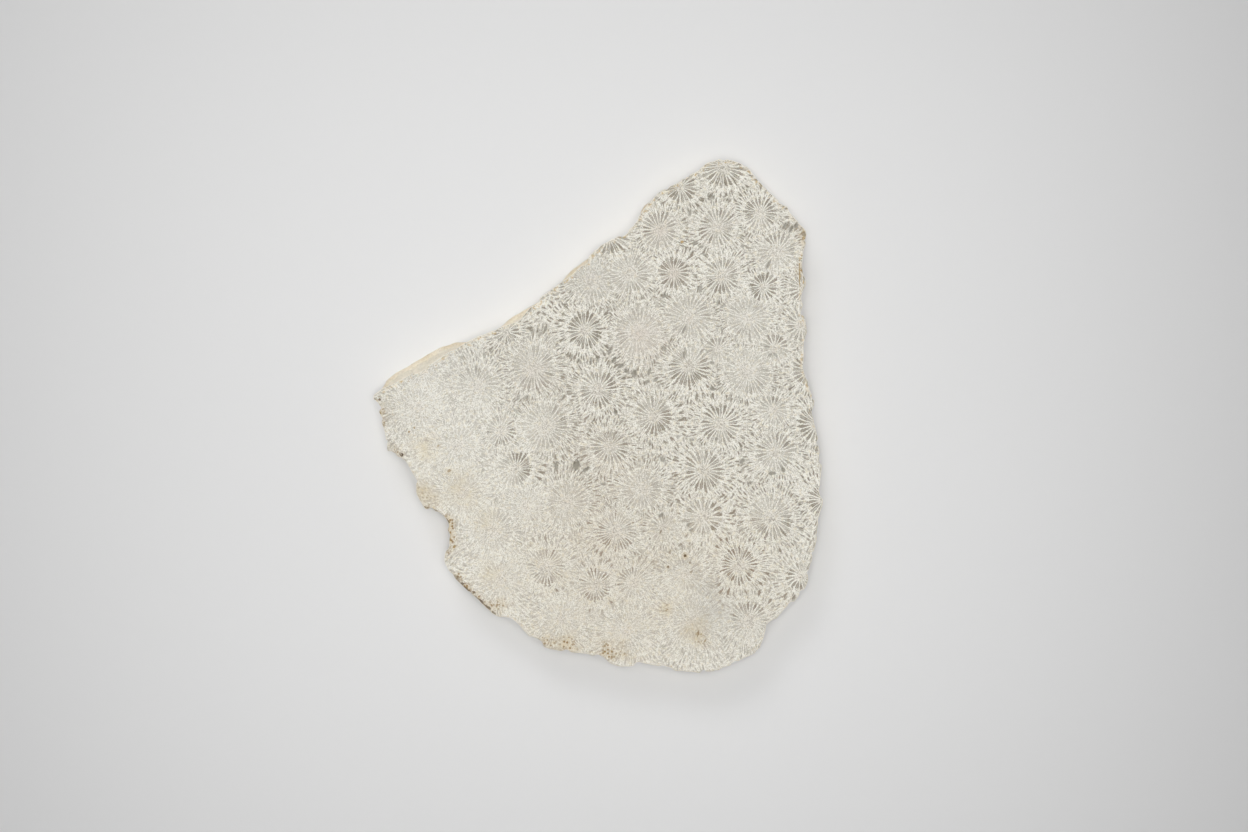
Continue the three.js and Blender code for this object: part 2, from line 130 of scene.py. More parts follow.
# Hollows worn into the side where it has crumbled: x, y, z, radius, drawn out upright by.
SIDE_HOLLOWS = [
    (-28.3, -32.9, 6.6, 1, 1.1), (-26.9, -34.3, 6.9, 0.9, 1), (-24.9, -36.1, 6.4, 1, 1.2),
    (-22.4, -38.1, 6.8, 0.8, 1), (-40.9, -7.9, 6.7, 1, 1.1), (-30.1, -22.2, 6.3, 0.8, 1.6),
    (-44.6, 1.9, 6.2, 0.9, 1), (44.5, -8, 3.6, 1.1, 1.6), (41.7, 12.5, 4.2, 1, 1.3),
    (12.5, -50.4, 3.4, 1.2, 1.2), (-8, 27.4, 3.9, 1, 1.4),
]

# ---- The coral's tubes where the saw crossed them ----

# Each star: x, y, radius to the outer end of its pits, radius of its hub, number of pits, how far they
# stand open, and the bearing (degrees from +X) towards which they are more open, with by how much.
STARS = [
    (24.8, 49.8, 4.4, 1.8, 24, 1, -90, 0.3), (16.2, 45.8, 3.4, 0.9, 20, 1, -100, 0.3),
    (12.2, 37.2, 3.8, 1.5, 24, 0.74, 130, 0.3), (23.6, 37.8, 3.8, 1.7, 26, 0.74, 0, 0),
    (32.2, 40.6, 3.4, 1.3, 22, 0.85, 75, 0.35), (14.9, 28.6, 3.4, 1.3, 20, 1, 140, 0.1),
    (24.6, 28, 3.7, 1.5, 24, 0.85, -80, 0.3), (32.8, 25.8, 3, 0.9, 18, 1, 150, 0.2),
    (23.8, 13.4, 2.6, 0.9, 16, 0.51, 90, 0.4), (41, 25.6, 3.2, 1.2, 18, 0.68, 180, 0.3),
    (18, 9.9, 4.4, 1.6, 26, 0.8, -85, 0.5), (42, 9, 3.4, 1.3, 20, 0.85, 190, 0.3),
    (11, -0.1, 4, 1.5, 24, 0.85, -40, 0.3), (24.3, -1.6, 4.1, 1.6, 26, 0.91, 60, 0.15),
    (35.3, -7.4, 4, 1.6, 24, 0.62, 80, 0.3), (43.6, -1.6, 4, 1.4, 22, 0.97, 180, 0.2),
    (20.9, -11, 4.2, 1.6, 24, 0.85, -70, 0.2), (45, -16.8, 3.6, 1.2, 20, 0.97, 180, 0.2),
    (20.8, -20.3, 4, 2.3, 18, 0.74, 20, 0.2), (34.4, -20.4, 4.6, 1.9, 26, 0.62, -75, 0.3),
    (28, -29.9, 3.9, 1.9, 30, 1, 90, 0.25), (40.4, -32, 3, 1.2, 18, 0.68, -120, 0.3),
    (3.3, -23.1, 4.1, 1.9, 34, 0.75, -110, 0.2), (-10.6, -30.2, 3.8, 1.7, 30, 0.62, -40, 0.2),
    (-0.8, -33.9, 3.4, 1.6, 26, 0.72, 60, 0.2), (6.8, -33.3, 3.4, 1.7, 26, 0.5, 140, 0.5),
    (30.1, -41.1, 4.2, 2.2, 28, 0.5, 95, 0.6), (-19.7, -3, 3.1, 1.3, 22, 0.6, -30, 0.2),
    (-16.8, -10.6, 3.6, 1.4, 24, 0.74, 30, 0.6), (-18.6, 16.8, 2.7, 1, 18, 1, -20, 0.2),
    (-2.8, 17.1, 3.9, 1.3, 24, 1, -60, 0.1), (-0.2, 5.3, 4, 1.6, 24, 0.8, -40, 0.35),
    (2.2, -6.1, 3.7, 1.4, 24, 0.68, 0, 0.1), (1.8, 36, 4, 1.6, 22, 0.8, -50, 0.3),
    (40.4, 18.2, 3.2, 1.3, 18, 0.57, 180, 0.3), (35.6, 32.8, 4, 1.7, 24, 0.42, 90, 0.5),
    (18, 19.8, 4.6, 1.6, 30, 0.4, 0, 0.1), (29.8, 19.5, 4.4, 1.4, 28, 0.42, 0, 0.1),
    (7.8, 16.8, 4.8, 2.2, 30, 0.37, 160, 0.3), (6.2, 28.4, 4.2, 1.8, 26, 0.4, -30, 0.3),
    (29.6, 8.8, 4.8, 2.1, 30, 0.34, -60, 0.4), (-13.2, 9.5, 4.8, 1.8, 30, 0.47, -60, 0.3),
    (-10.8, -2, 4.8, 2.2, 28, 0.4, 0, 0.5), (-24.6, 6, 4.4, 1.9, 26, 0.32, 90, 0.6),
    (-1.4, 27.2, 4.4, 2.4, 26, 0.24, -60, 0.4), (-6.6, -17.4, 4.4, 1.8, 28, 0.32, 90, 0.2),
    (8.6, -14.6, 4, 1.6, 26, 0.37, -60, 0.4), (34.8, 1.2, 3, 1.2, 18, 0.53, 90, 0.4),
    (35.2, 13.6, 2.8, 1, 16, 0.53, 90, 0.4), (12.8, -22.4, 3, 1.2, 18, 0.37, 120, 0.5),
    (17.2, -31.6, 3.8, 1.5, 24, 0.32, 30, 0.4), (18.6, -40.8, 4.6, 1.8, 28, 0.24, 0, 0),
    (-21.4, -23, 4.4, 1.8, 28, 0.24, 40, 0.3), (-28.6, -5.8, 4, 1.8, 26, 0.22, 0, 0),
    (-36.4, 1.8, 4, 1.8, 26, 0.22, 0, 0), (-27.2, -15.6, 4.2, 1.8, 26, 0.22, 0, 0),
    (-35.2, 9.2, 3.6, 1.6, 22, 0.24, 0, 0), (-19.6, -32.8, 4, 1.8, 26, 0.22, 0, 0),
    (-7.6, -40.8, 4, 1.8, 26, 0.2, 0, 0), (5.4, -42.8, 4, 1.8, 26, 0.2, 0, 0),
    (-14.6, -18, 3.6, 1.6, 24, 0.22, 0, 0),
]

PIT_WIDTH = 0.6  # at its widest, as a share of the space between two walls
PIT_SOFTNESS = 0.035  # over which a pit's rim fades in its colour
PIT_LINE = 0.1  # width of the darker line just inside its rim
PIT_SLOPE = 0.15  # over which it falls away in the mesh
PIT_DEPTH = 0.6  # of a fully open pit
PORE_DEPTH = 0.14  # of the short pores between the stars
SEPTUM_BEND, SEPTUM_WAVE = 0.03, 1.1  # how far and how fast the walls wind, in radians
OUT_OF_ROUND = 0.05  # of a star's outline, as a share of its radius
THIN_WALLS = (0.65, 0.75)  # chance values that give a pit a thin wall along its middle
THIN_WALL_FADE = (0.14, 0.05)  # from its edge to its middle

# What varies from pit to pit by chance, from the first value to the second.
PIT_START = (0.25, 0.9)  # share of the hub's radius where a pit starts
PIT_END = (1.08, 0.86)  # share of the star's radius where it ends
PIT_SPREAD = (0.7, 1.1)  # its width
PIT_OPENNESS = (0.55, 1.35)
DROP_START = (0.5, 1.4)  # from the star to the drop beyond it
DROP_LENGTH = (0.9, 1.7)
DROP_WIDTH = 0.34

# Marks drawn out along the walls: so many to a sector, and so many to a millimetre outwards.
PORES = (2.5, 0.65)
FINE_PORES = (3.0, 1.0)
STREAKS = (2.6, 0.6)
FIBRES = (6.0, 1.1)
PORE_NARROWNESS = (11.0, 5.0)  # across a pore and along it, in its cell
PORE_FRAY = 0.55
SEED_SPACE = 9.7  # between the noises of two seeds
SEED_STEP, SEED_RANGE = 1.7, 6.0  # the stars' seeds go up by the step, round and round the range
SEAM = 0.35  # half the width over which one star becomes the next

GAP_EDGE = (1.12, 0.8)  # a gap's inside and halo fade between these shares of its ellipse
GAP_HALO = (3.2, 1.2)
USUAL_GAP = (0, 0, 0, 0, 0, 0.6, 0, 0)
GAP_FRAY = (0.4, 0.4)  # how ragged it is, and how much more for each millimetre of length

# Gaps and specks between the stars: x, y, length, width, bearing of the long axis, then its depth, its rust
# and a halo of it, where they aren't the usual ones.
GAPS = [
    (2.1, 12.8, 1.7, 0.6, 70), (3, 11.2, 1.5, 0.8, 55, 0.7), (4.3, 10, 1.4, 0.8, 25, 0.7),
    (5.6, 8.9, 1.5, 0.8, -50, 0.7), (7, 8.4, 1.9, 0.9, 80, 0.7), (10, 8.8, 1.6, 0.6, 75, 0.7),
    (9.6, 6.8, 1.2, 0.8, 20), (11.2, 7.1, 1.1, 0.6, 30), (-1.6, 11, 1.6, 0.6, 80),
    (-0.2, 11.3, 1.5, 0.6, 80), (-3.9, 10.9, 1.2, 0.6, -60), (-5.6, 11.8, 1.3, 0.6, 45, 0.5),
    (-8.6, -10.1, 1.9, 0.7, 90, 0.7), (-4.5, -9.9, 2.1, 1.3, 75, 0.8), (-2.6, -10.7, 1.7, 0.7, 38, 0.7),
    (0.8, -13.6, 1.1, 0.6, 10), (-10.7, 17.4, 1.1, 0.7, 70), (-13.5, 17.2, 1.3, 0.6, 85, 0.5),
    (12.7, -8.7, 1.6, 0.9, -40), (28.6, -9.1, 1.4, 0.8, 40, 0.7), (28.6, -10.9, 1.3, 0.6, 50, 0.5),
    (30.2, -13.4, 1.3, 0.6, 30, 0.5), (34.6, -11.5, 1.5, 0.8, 0, 0.7), (36.8, -10.8, 1.1, 0.8, 100, 0.7),
    (12.4, -19.9, 1.1, 0.7, 45, 0.7), (17.8, -21.7, 0.9, 0.6, 40), (18.4, -22.8, 0.9, 0.6, 20),
    (3.3, 0.7, 1.1, 0.8, 100), (15.8, -4.2, 0.9, 0.7, 30, 0.5), (18.6, -4.8, 1, 0.6, 10),
    (22.7, 5.4, 1.2, 0.7, -15, 0.7), (26, 3.4, 0.9, 0.6, 60, 0.5), (22.6, 10.6, 1, 0.7, 0),
    (13, 13.6, 1.1, 0.9, -30), (13, 24, 1.1, 0.8, 40, 0.7), (20.2, 25.4, 1.6, 0.9, 80),
    (23.8, 22.6, 1.3, 0.6, 70, 0.5), (24.8, 22, 1.3, 0.6, 40, 0.5), (37.2, 38, 1.7, 0.7, 60, 0.7),
    (38.4, 37.4, 1.7, 0.7, 60, 0.7), (39.4, 38, 1.5, 0.6, 60, 0.7), (41, 36.4, 1.4, 1, -50, 0.5, 0.3),
    (33.9, 30.2, 2.1, 0.6, 65), (40.1, 28.2, 6, 0.25, 91, 0.25, 0.9), (-33.6, -18.7, 4, 0.4, -18, 0.7, 0.5),
    (-30.7, -20.6, 2.2, 0.5, -50, 0.8, 0.5), (-41.6, -7.4, 2, 0.45, -28, 0.8, 0.5),
    (-28.5, -32.5, 1.6, 1.1, -42, 0.55, 0.2), (-27.4, -33.6, 0.9, 0.7, -10, 0.8, 0.4),
    (-26.3, -34.9, 2.6, 0.6, -42, 0.9, 0.4), (-25.1, -35.3, 0.8, 0.5, -20, 0.7, 0.5),
    (-23.9, -36.9, 2.4, 0.6, -40, 0.9, 0.4), (-22.2, -38.3, 1.5, 0.5, -36, 0.8, 0.4),
    (-21.1, -39.4, 1.3, 0.4, -44, 0.7, 0.4), (19.2, 34.6, 1.2, 0.8, 35), (20.4, 33.8, 1, 0.6, 0),
    (28.7, 34, 0.9, 0.7, 100, 0.5), (22.3, 43.6, 1.3, 0.8, 30), (25.8, 43.2, 0.7, 0.6, 0, 0.5),
    (18.2, 40.6, 1.4, 0.6, 82), (17, 17.2, 1.8, 0.6, 68), (17, 12.2, 1.9, 0.5, 88),
    (33.6, 13.8, 1.2, 0.7, 10, 0.5), (34.2, 12.2, 0.9, 0.7, 30, 0.5), (35.3, 12.2, 1.1, 0.6, -50, 0.5),
    (-16.2, 3.6, 1.4, 0.7, 60, 0.45), (-14.7, 3.6, 1.4, 0.7, 50, 0.45), (-16.6, 0.9, 1.7, 0.5, -45, 0.4),
    (23.4, -4.6, 0.65, 0.65, 0), (16.6, 34.8, 0.7, 0.5, 0, 0.1, 1), (17.2, -28, 0.6, 0.6, 0, 0.8, 0.5, 1),
    (12.3, -23.2, 0.9, 0.4, 60, 0.5, 0.4), (18.4, -31.2, 0.8, 0.4, 30, 0.4, 0.4),
    (18.2, -29.4, 0.7, 0.4, -20, 0.4, 0.3), (14.2, -27.2, 0.9, 0.4, 80, 0.4, 0.3),
    (19.8, -43.6, 1.4, 0.4, 80, 0.4, 0.5), (21.2, -45, 0.9, 0.4, 60, 0.3, 0.5),
    (13.8, -30.2, 0.5, 0.5, 0, 0.6, 0.6, 0.3), (16.2, -25.8, 0.9, 0.5, 40, 0.5, 0.2),
    (10.1, -24.6, 0.5, 0.5, 0, 0.5, 0.2), (-43.9, 3.3, 0.5, 0.5, 0, 0.7, 0.5),
    (-44.2, 1.9, 1.3, 0.45, -58, 0.8, 0.5), (-39.5, -7.8, 0.7, 0.65, 0, 1, 0.5),
    (-37, -2.4, 0.4, 0.4, 0, 0.3, 0.8), (-38, -3.2, 0.5, 0.4, 0, 0.3, 0.8),
    (-32.2, -6, 0.6, 0.4, 20, 0.2, 0.6), (-30, -11, 0.8, 0.6, 30, 0.3, 0.5, 0.4),
    (-29, -26.2, 0.7, 0.5, 60, 0.3, 0.9, 0.3),
]

# Soft patches: x, y, reach, and how much tan, grey, rust, wear and pink each brings, as far as it does.
PATCHES = [
    (-34.6, -6.4, 2.6, 0.5), (-27.6, -14.6, 3.2, 0.45), (-22.6, -20.8, 2.4, 0.35),
    (-21.6, -31.8, 2.2, 0.35), (19.4, -42.6, 2.6, 0.4, 0.1, 0.1), (20.6, -44.4, 1.4, 0.2, 0, 0.3),
    (13.6, -38.6, 1.4, 0.4, 0, 0.25), (5, -46.6, 1.5, 0.2, 0, 0.4), (23.4, -39, 4, 0, 0.45),
    (21.6, -34.4, 2.6, 0, 0.35), (-28, 12, 6, 0, 0.15), (-1, 28.2, 4, 0, 0.2),
    (-42.6, 1, 2.6, 0.1, 0.3, 0.1), (-30.2, -21.4, 1.3, 0.3, 0.2, 1), (-30.4, -24.2, 1.6, 0.3, 0.2, 1),
    (-30.6, -27, 1, 0.2, 0.2, 0.6), (-34, -19.6, 1.2, 0.2, 0.2, 0.5), (-28.4, -32.6, 1.1, 0.2, 0.3, 0.9),
    (-26.4, -34.6, 1, 0.2, 0.3, 0.9), (-24.2, -36.6, 1, 0.2, 0.3, 0.8), (-22.2, -38.2, 1.2, 0.2, 0.1, 0.8),
    (-19.6, -37.6, 1.2, 0.2, 0, 0.5), (-10.2, -45.2, 1.4, 0.2, 0.1, 0.7), (-6, -45.8, 2, 0.2, 0, 0.4),
    (1.6, -47.2, 1.5, 0.2, 0.1, 0.8), (-41, -7.4, 1.4, 0.2, 0.2, 0.6), (-44, 1.4, 1, 0.2, 0.2, 0.8),
    (-44.3, 0.3, 1, 0.3, 0.1, 1), (-43.5, -1.3, 0.9, 0.2, 0.1, 0.8),
    (-35.5, -14.4, 2.4, 0.35, 0.15, 0.1, 0, 0.1), (-33.6, -17, 2, 0.3, 0.1, 0.14, 0, 0.1),
    (-2, -36, 24, 0.22), (40.6, 29.2, 0.9, 0.2, 0, 0.9), (41.2, 36, 1.6, 0.2, 0.2, 0.3),
    (-36, 4, 14, 0, 0, 0, 0.8), (-30, -16, 15, 0, 0, 0, 0.8), (-16, -16, 8, 0, 0, 0, 0.3),
    (-16, -38, 14, 0, 0, 0, 0.65, 0.04), (6, -44, 14, 0, 0, 0, 0.55, 0.08),
    (22, -46, 12, 0, 0, 0, 0.5, 0.03), (18, -28, 9, 0, 0, 0, 0.25, 0.06), (38, -32, 12, 0, 0, 0, 0.35),
    (-2, -30, 12, 0, 0, 0, 0.25), (28, -30, 12, 0.15, 0, 0, 0.1), (-2, -26, 9, 0, 0, 0, 0, 0.12),
    (0, -12, 10, 0, 0, 0, 0, 0.1), (9, 15, 4.5, 0, 0, 0, 0.1, 0.45), (12.4, 36.8, 2.2, 0, 0, 0, 0, 0.4),
    (15, 28.4, 2, 0, 0, 0, 0, 0.4), (-13, 8, 3, 0, 0, 0, 0, 0.2),
]

# ---- Values that are numbers, arrays or wires between nodes ----


class Wire:
    """A value inside a node tree that is written into sums as a number or an array is."""

    def __init__(self, tree, socket):
        self.tree = tree
        self.socket = socket

    __add__ = __radd__ = lambda self, other: calculate("ADD", self, other)
    __sub__ = lambda self, other: calculate("SUBTRACT", self, other)
    __rsub__ = lambda self, other: calculate("SUBTRACT", other, self)
    __mul__ = __rmul__ = lambda self, other: calculate("MULTIPLY", self, other)
    __truediv__ = lambda self, other: calculate("DIVIDE", self, other)


def connect(value, socket, tree):
    """Feeds a socket from a wire, or sets it to a plain value."""
    if isinstance(value, Wire):
        tree.links.new(value.socket, socket)
    else:
        socket.default_value = value


def add_node(kind, inputs, tree=None, **settings):
    """A new node with its settings. Its inputs, by name or number, are wires or plain values, and its tree
    is that of the wires."""
    tree = tree or next(value.tree for value in inputs.values() if isinstance(value, Wire))
    node = tree.nodes.new("ShaderNode" + kind)
    for name, value in settings.items():
        setattr(node, name, value)
    for name, value in inputs.items():
        connect(value, node.inputs[name], tree)
    return [Wire(tree, output) for output in node.outputs]


def calculate(operation, *values):
    """One maths node on the values."""
    return add_node("Math", dict(enumerate(values)), operation=operation)[0]


def either(operation, formula):
    """A function that is a maths node where a value is a wire, and numpy's formula where none is."""
    def work_out(*values):
        if any(isinstance(value, Wire) for value in values):
            return calculate(operation, *values)
        return formula(*values)
    return work_out


sine = either("SINE", np.sin)
cosine = either("COSINE", np.cos)
root = either("SQRT", np.sqrt)
floor = either("FLOOR", np.floor)
size = either("ABSOLUTE", np.abs)
bearing = either("ARCTAN2", np.arctan2)
least = either("MINIMUM", np.minimum)
most = either("MAXIMUM", np.maximum)


def held(value):
    """The value, kept between 0 and 1."""
    return least(most(value, 0.0), 1.0)


def smooth(low, high, value):
    """Rises from 0 at low to 1 at high as t t (3 - 2 t); falls instead where low is above high."""
    share = held((value - low) / (high - low))
    return share * share * (3.0 - 2.0 * share)


def blend(first, second, share):
    """The first value at share 0 and the second at 1."""
    return first + (second - first) * share


def chance(number, seed):
    """A scattered value between 0 and 1 for each whole number."""
    scattered = 43.76 * sine(12.99 * number + 4.14 * seed)
    return scattered - floor(scattered)


# ---- The pattern of the stars and gaps ----


def wedge(reach, inner, outer, widest):
    """Half width of a pit that widens outwards and ends round: widest * 1.6 s sqrt(1 - s^4), s the share
    of the way run from inner to outer."""
    share = held((reach - inner) / (outer - inner))
    return widest * 1.6 * share * root(1.0 - share * share * share * share), share


def drawn_out(place, reach, seed, grid):
    """Noise in streaks along the tubes' walls, on a grid of columns to a sector and rows to a millimetre."""
    across = place * grid[0]
    along = reach * grid[1]
    if isinstance(across, Wire):
        return noise(joined(across, along, seed * SEED_SPACE), 1.0, 1.5)
    return lattice_noise(np.column_stack([across, along, seed * SEED_SPACE]), 1.0, 3)


def pore_marks(place, reach, ragged, seed, grid):
    """Short pores along the tubes' walls, on a grid of columns to a sector and rows to a millimetre.

    Most cells of the grid hold one: an ellipse in the cell's own measures, moved off its middle by
    chance. The rows of each column start at a chance height.
    """
    column = floor(grid[0] * place)
    run = grid[1] * reach + chance(column, seed + 2.0)
    row = floor(run)
    luck = chance(column + 13.0 * row, seed)
    other_luck = chance(column + 29.0 * row, seed + 1.0)
    across = grid[0] * place - column - blend(0.34, 0.66, other_luck)
    along = run - row - blend(0.4, 0.6, luck)
    narrow, short = PORE_NARROWNESS
    outward = root(across * across * narrow + along * along * short) + PORE_FRAY * ragged
    return smooth(1.0, 0.6, outward) * smooth(0.2, 0.6, luck)


def star_marks(x, y, star, ragged, softness):
    """What one star marks at x, y, each from 0 to 1, and the distance past its wall.

    The circle is shared into equal sectors, one to a pit. A pit is a wedge along its sector's middle, from
    the hub out to the wall, and some have a thin wall of their own. Beyond the star come a sparser ring of
    short drops and then pores. Streaks are noise stretched outwards, so that the stone runs from star to
    star. Chance values from the sector's number vary lengths, widths and openness, and ragged, a noise
    about 0, frays the rims.
    """
    east = x - star.x
    north = y - star.y
    reach = root(east * east + north * north)
    turn = bearing(north, east)
    radius = star.radius * (1.0 + OUT_OF_ROUND * sine(2.0 * turn + star.seed))
    place = star.pits * (turn + SEPTUM_BEND * sine(SEPTUM_WAVE * reach + star.seed)) / TURN
    sector = floor(place)
    aside = size(place - sector - 0.5)
    sideways = aside * TURN * reach / star.pits + 0.3 * ragged
    luck = chance(sector, star.seed)
    other_luck = chance(sector + 37.0, star.seed)
    third_luck = chance(sector + 71.0, star.seed)
    past = reach - radius
    past_hub = smooth(0.5, 1.0, reach / star.hub)

    widest = 0.5 * PIT_WIDTH * TURN * radius / star.pits * blend(*PIT_SPREAD, luck)
    start = star.hub * blend(*PIT_START, other_luck)
    half_width, share = wedge(reach + ragged, start, radius * blend(*PIT_END, luck), widest)
    inside = smooth(0.0, 2.0 * softness, half_width - sideways)
    filled = smooth(PIT_LINE, 2.2 * PIT_LINE, half_width - sideways)
    bias = 1.0 + star.bias * cosine(turn - star.towards)
    open_here = held(star.open * bias * blend(*PIT_OPENNESS, other_luck))
    thin_wall = smooth(*THIN_WALL_FADE, sideways) * smooth(0.3, 0.5, share) * smooth(*THIN_WALLS, third_luck)
    pit = inside * open_here * blend(0.6, 1.0, smooth(0.15, 0.7, share)) * (1.0 - 0.75 * thin_wall)

    drop_start = radius + blend(*DROP_START, third_luck)
    drop_end = drop_start + blend(*DROP_LENGTH, other_luck)
    drop_width, _ = wedge(reach + ragged, drop_start, drop_end, DROP_WIDTH)
    drop = smooth(0.0, 2.0 * softness, drop_width - sideways) * smooth(0.45, 0.6, luck)
    pores = pore_marks(place, reach, ragged, star.seed, PORES) * smooth(0.1, 0.7, past)
    fine_pores = pore_marks(place, reach, ragged, star.seed + 4.0, FINE_PORES)

    septa = smooth(0.36, 0.45, aside) * past_hub * smooth(1.6, 0.1, past)
    marks = SimpleNamespace(
        pits=most(pit, drop * (0.15 + 0.6 * open_here)),
        fills=inside * filled,
        pores=most(pores, fine_pores * (1.0 - star.open) * past_hub * 0.85),
        septa=septa * blend(0.3, 1.0, open_here),
        hub=smooth(1.0, 0.4, reach / star.hub),
        streaks=drawn_out(place, reach, star.seed, STREAKS),
        fibres=drawn_out(place, reach, star.seed + 3.0, FIBRES),
    )
    return marks, past


def pattern(x, y, near, far, ragged, softness):
    """Marks of the nearest star, blended into the next one's across the line where their walls are as
    far."""
    first, first_past = star_marks(x, y, near, ragged, softness)
    second, second_past = star_marks(x, y, far, ragged, softness)
    share = smooth(-SEAM, SEAM, first_past - second_past)
    return SimpleNamespace(**{name: blend(value, getattr(second, name), share)
                              for name, value in vars(first).items()})


def gap_marks(x, y, gap, ragged):
    """A gap's inside and halo at x, y, from its ellipse turned to its bearing and frayed."""
    east = x - gap.x
    north = y - gap.y
    along = (east * cosine(gap.bearing) + north * sine(gap.bearing)) / gap.length
    across = (north * cosine(gap.bearing) - east * sine(gap.bearing)) / gap.width
    outward = root(along * along + across * across)
    fray = GAP_FRAY[0] + GAP_FRAY[1] * gap.length
    return smooth(*GAP_EDGE, outward + fray * ragged), smooth(*GAP_HALO, outward)


# ---- Tables as arrays, and what each face is near to ----

STAR_FIELDS = ("x", "y", "radius", "hub", "pits", "open", "towards", "bias", "seed")
GAP_FIELDS = ("x", "y", "length", "width", "bearing", "depth", "rust", "halo")


def star_table(shift):
    """The stars as named arrays, moved by shift, with bearings in radians and a seed each."""
    x, y, *sizes, towards, bias = np.array(STARS, float).T
    seed = 1.0 + SEED_STEP * np.arange(len(x)) % SEED_RANGE
    return dict(zip(STAR_FIELDS, (x + shift[0], y + shift[1], *sizes, np.radians(towards), bias, seed)))


def gap_table(shift):
    """The gaps as named arrays, moved by shift, with half lengths and widths, and bearings in radians."""
    rows = np.array([(*gap, *USUAL_GAP[len(gap):]) for gap in GAPS])
    x, y, length, width, angle, *amounts = rows.T
    columns = (x + shift[0], y + shift[1], length / 2, width / 2, np.radians(angle), *amounts)
    return dict(zip(GAP_FIELDS, columns))


def chosen(table, rows):
    """One row of a table for each point."""
    return SimpleNamespace(**{name: column[rows] for name, column in table.items()})


def two_nearest_stars(points, stars):
    """For each point, the two stars whose walls it lies least far past."""
    past = np.hypot(points[:, :1] - stars["x"], points[:, 1:2] - stars["y"]) - stars["radius"]
    return np.argsort(past, axis=1)[:, :2].T


def nearest_gap(points, gaps):
    """For each point, the gap it lies nearest to, measured in that gap's own size."""
    reach = np.hypot(points[:, :1] - gaps["x"], points[:, 1:2] - gaps["y"])
    return np.argmin(reach - gaps["length"], axis=1)


# ---- Noise and the side's shape ----


HASH_PRIMES = (73856093, 19349663, 83492791, 2654435761)
HASH_FACTOR = 1274126177


def lattice_noise(points, cell, seed):
    """Smooth noise from 0 to 1: hashed values on a lattice of cells, blended by 3 t^2 - 2 t^3."""
    places = np.asarray(points) / cell + 100.0
    corner = np.floor(places).astype(np.int64)
    share = places - corner
    share = share * share * (3 - 2 * share)
    total = np.zeros(len(places))
    for step in np.ndindex(2, 2, 2):
        x, y, z = (corner + step).T * np.array(HASH_PRIMES[:3])[:, None]
        number = x ^ y ^ z ^ (seed * HASH_PRIMES[3])
        number = (number ^ (number >> 13)) * HASH_FACTOR
        value = ((number ^ (number >> 16)) & 0xFFFF) / 0xFFFF
        weight = np.prod(np.where(np.array(step) == 1, share, 1 - share), axis=1)
        total += value * weight
    return total


def closed_curve(corners, shares):
    """Points at shares of the length of the closed curve through the corners, the directions into the
    stone there, and the shares at which the other three corners of the faces' grids lie.

    Between corners b and c, with a before and d after, it is the cubic
    b + (c - a) t / 2 + (a - 5 b / 2 + 2 c - d / 2) t^2 + (3 (b - c) + d - a) t^3 / 2.
    """
    def at(t):
        whole = np.floor(t * len(corners)).astype(int)
        part = (t * len(corners) - whole)[:, None]
        a, b, c, d = (corners[(whole + step) % len(corners)] for step in (-1, 0, 1, 2))
        return (b + (c - a) * part / 2 + (a - 2.5 * b + 2 * c - d / 2) * part ** 2
                + (3 * (b - c) + d - a) * part ** 3 / 2)

    even = np.linspace(0, 1, CURVE_DIVISIONS + 1)
    fine = at(even)
    run = np.concatenate([[0], np.cumsum(np.linalg.norm(np.diff(fine, axis=0), axis=1))])
    t = np.interp(shares * run[-1], run, even)
    along = at(t + HEADING_STEP) - at(t - HEADING_STEP)
    along /= np.linalg.norm(along, axis=1)[:, None]
    inward = np.stack([-along[:, 1], along[:, 0]], axis=1)
    nearest = [float(run[np.argmin(np.linalg.norm(fine - corner, axis=1))] / run[-1])
               for corner in (LEFT_TIP, LOWER_CORNER, RIGHT_CORNER)]
    return at(t), inward, nearest


def edge_shares():
    """Shares of the outline's length for the edge's points: even steps between each two corners."""
    *_, corners = closed_curve(OUTLINE, np.zeros(1))
    stops = [0.0, *corners, 1.0]
    return np.concatenate([np.linspace(start, end, FACE_STEPS, endpoint=False)
                           for start, end in zip(stops[:-1], stops[1:])])


def half_wave(angle):
    """A wave between 0 and 1."""
    return 0.5 + 0.5 * np.sin(angle)


def set_back(shares, points, height):
    """How far the side stands in from the outline at a share of the thickness: its lean, and the sum of
    its undercut, its waves, its roughness and its worn edges."""
    turn = TURN * shares
    lean = sum(amount * np.exp(-((np.hypot(*(points - (x, y)).T) / reach) ** 2))
               for x, y, reach, amount in LEANING_STRETCHES)
    swell = half_wave(UNDERCUT_SWELLS * turn + UNDERCUT_START)
    drawn_in = blend(*UNDERCUT, swell) * (1 - np.minimum(1, lean)) * (1 - height) ** 2
    waves = sum(depth * half_wave(count * turn + drift * height + np.sin(round(WAVE_SKEW * count) * turn))
                for count, drift, depth in SIDE_WAVES)
    wave_share = np.sin(np.pi * (WAVE_FADE + (1 - 2 * WAVE_FADE) * height))

    places = np.column_stack([points, np.full(len(turn), height * THICKNESS)])
    grains = sum(depth * lattice_noise(places, cell, seed)
                 for seed, (cell, depth) in enumerate(SIDE_GRAINS, start=1))
    ribs = SIDE_RIB_DEPTH * lattice_noise(places * (1, 1, SIDE_RIB_RUN), SIDE_RIB_SPACE, 9)
    chips = sum(depth * smooth(*CHIP_LEVELS, lattice_noise(places, cell, seed))
                for seed, (cell, depth) in enumerate(EDGE_CHIPS, start=17)) * smooth(*CHIP_HEIGHTS, height)
    rough_share = smooth(*ROUGH_FOOT, height) * smooth(*ROUGH_TOP, height)

    from_end = np.minimum(height, 1 - height) / EDGE_SHARE
    worn = EDGE_ROUNDING * (1 - np.sqrt(1 - (1 - min(1.0, from_end)) ** 2))
    leaning = lean * height ** LEAN_BEND
    return leaning, drawn_in + waves * wave_share + (grains + ribs) * rough_share + chips + worn


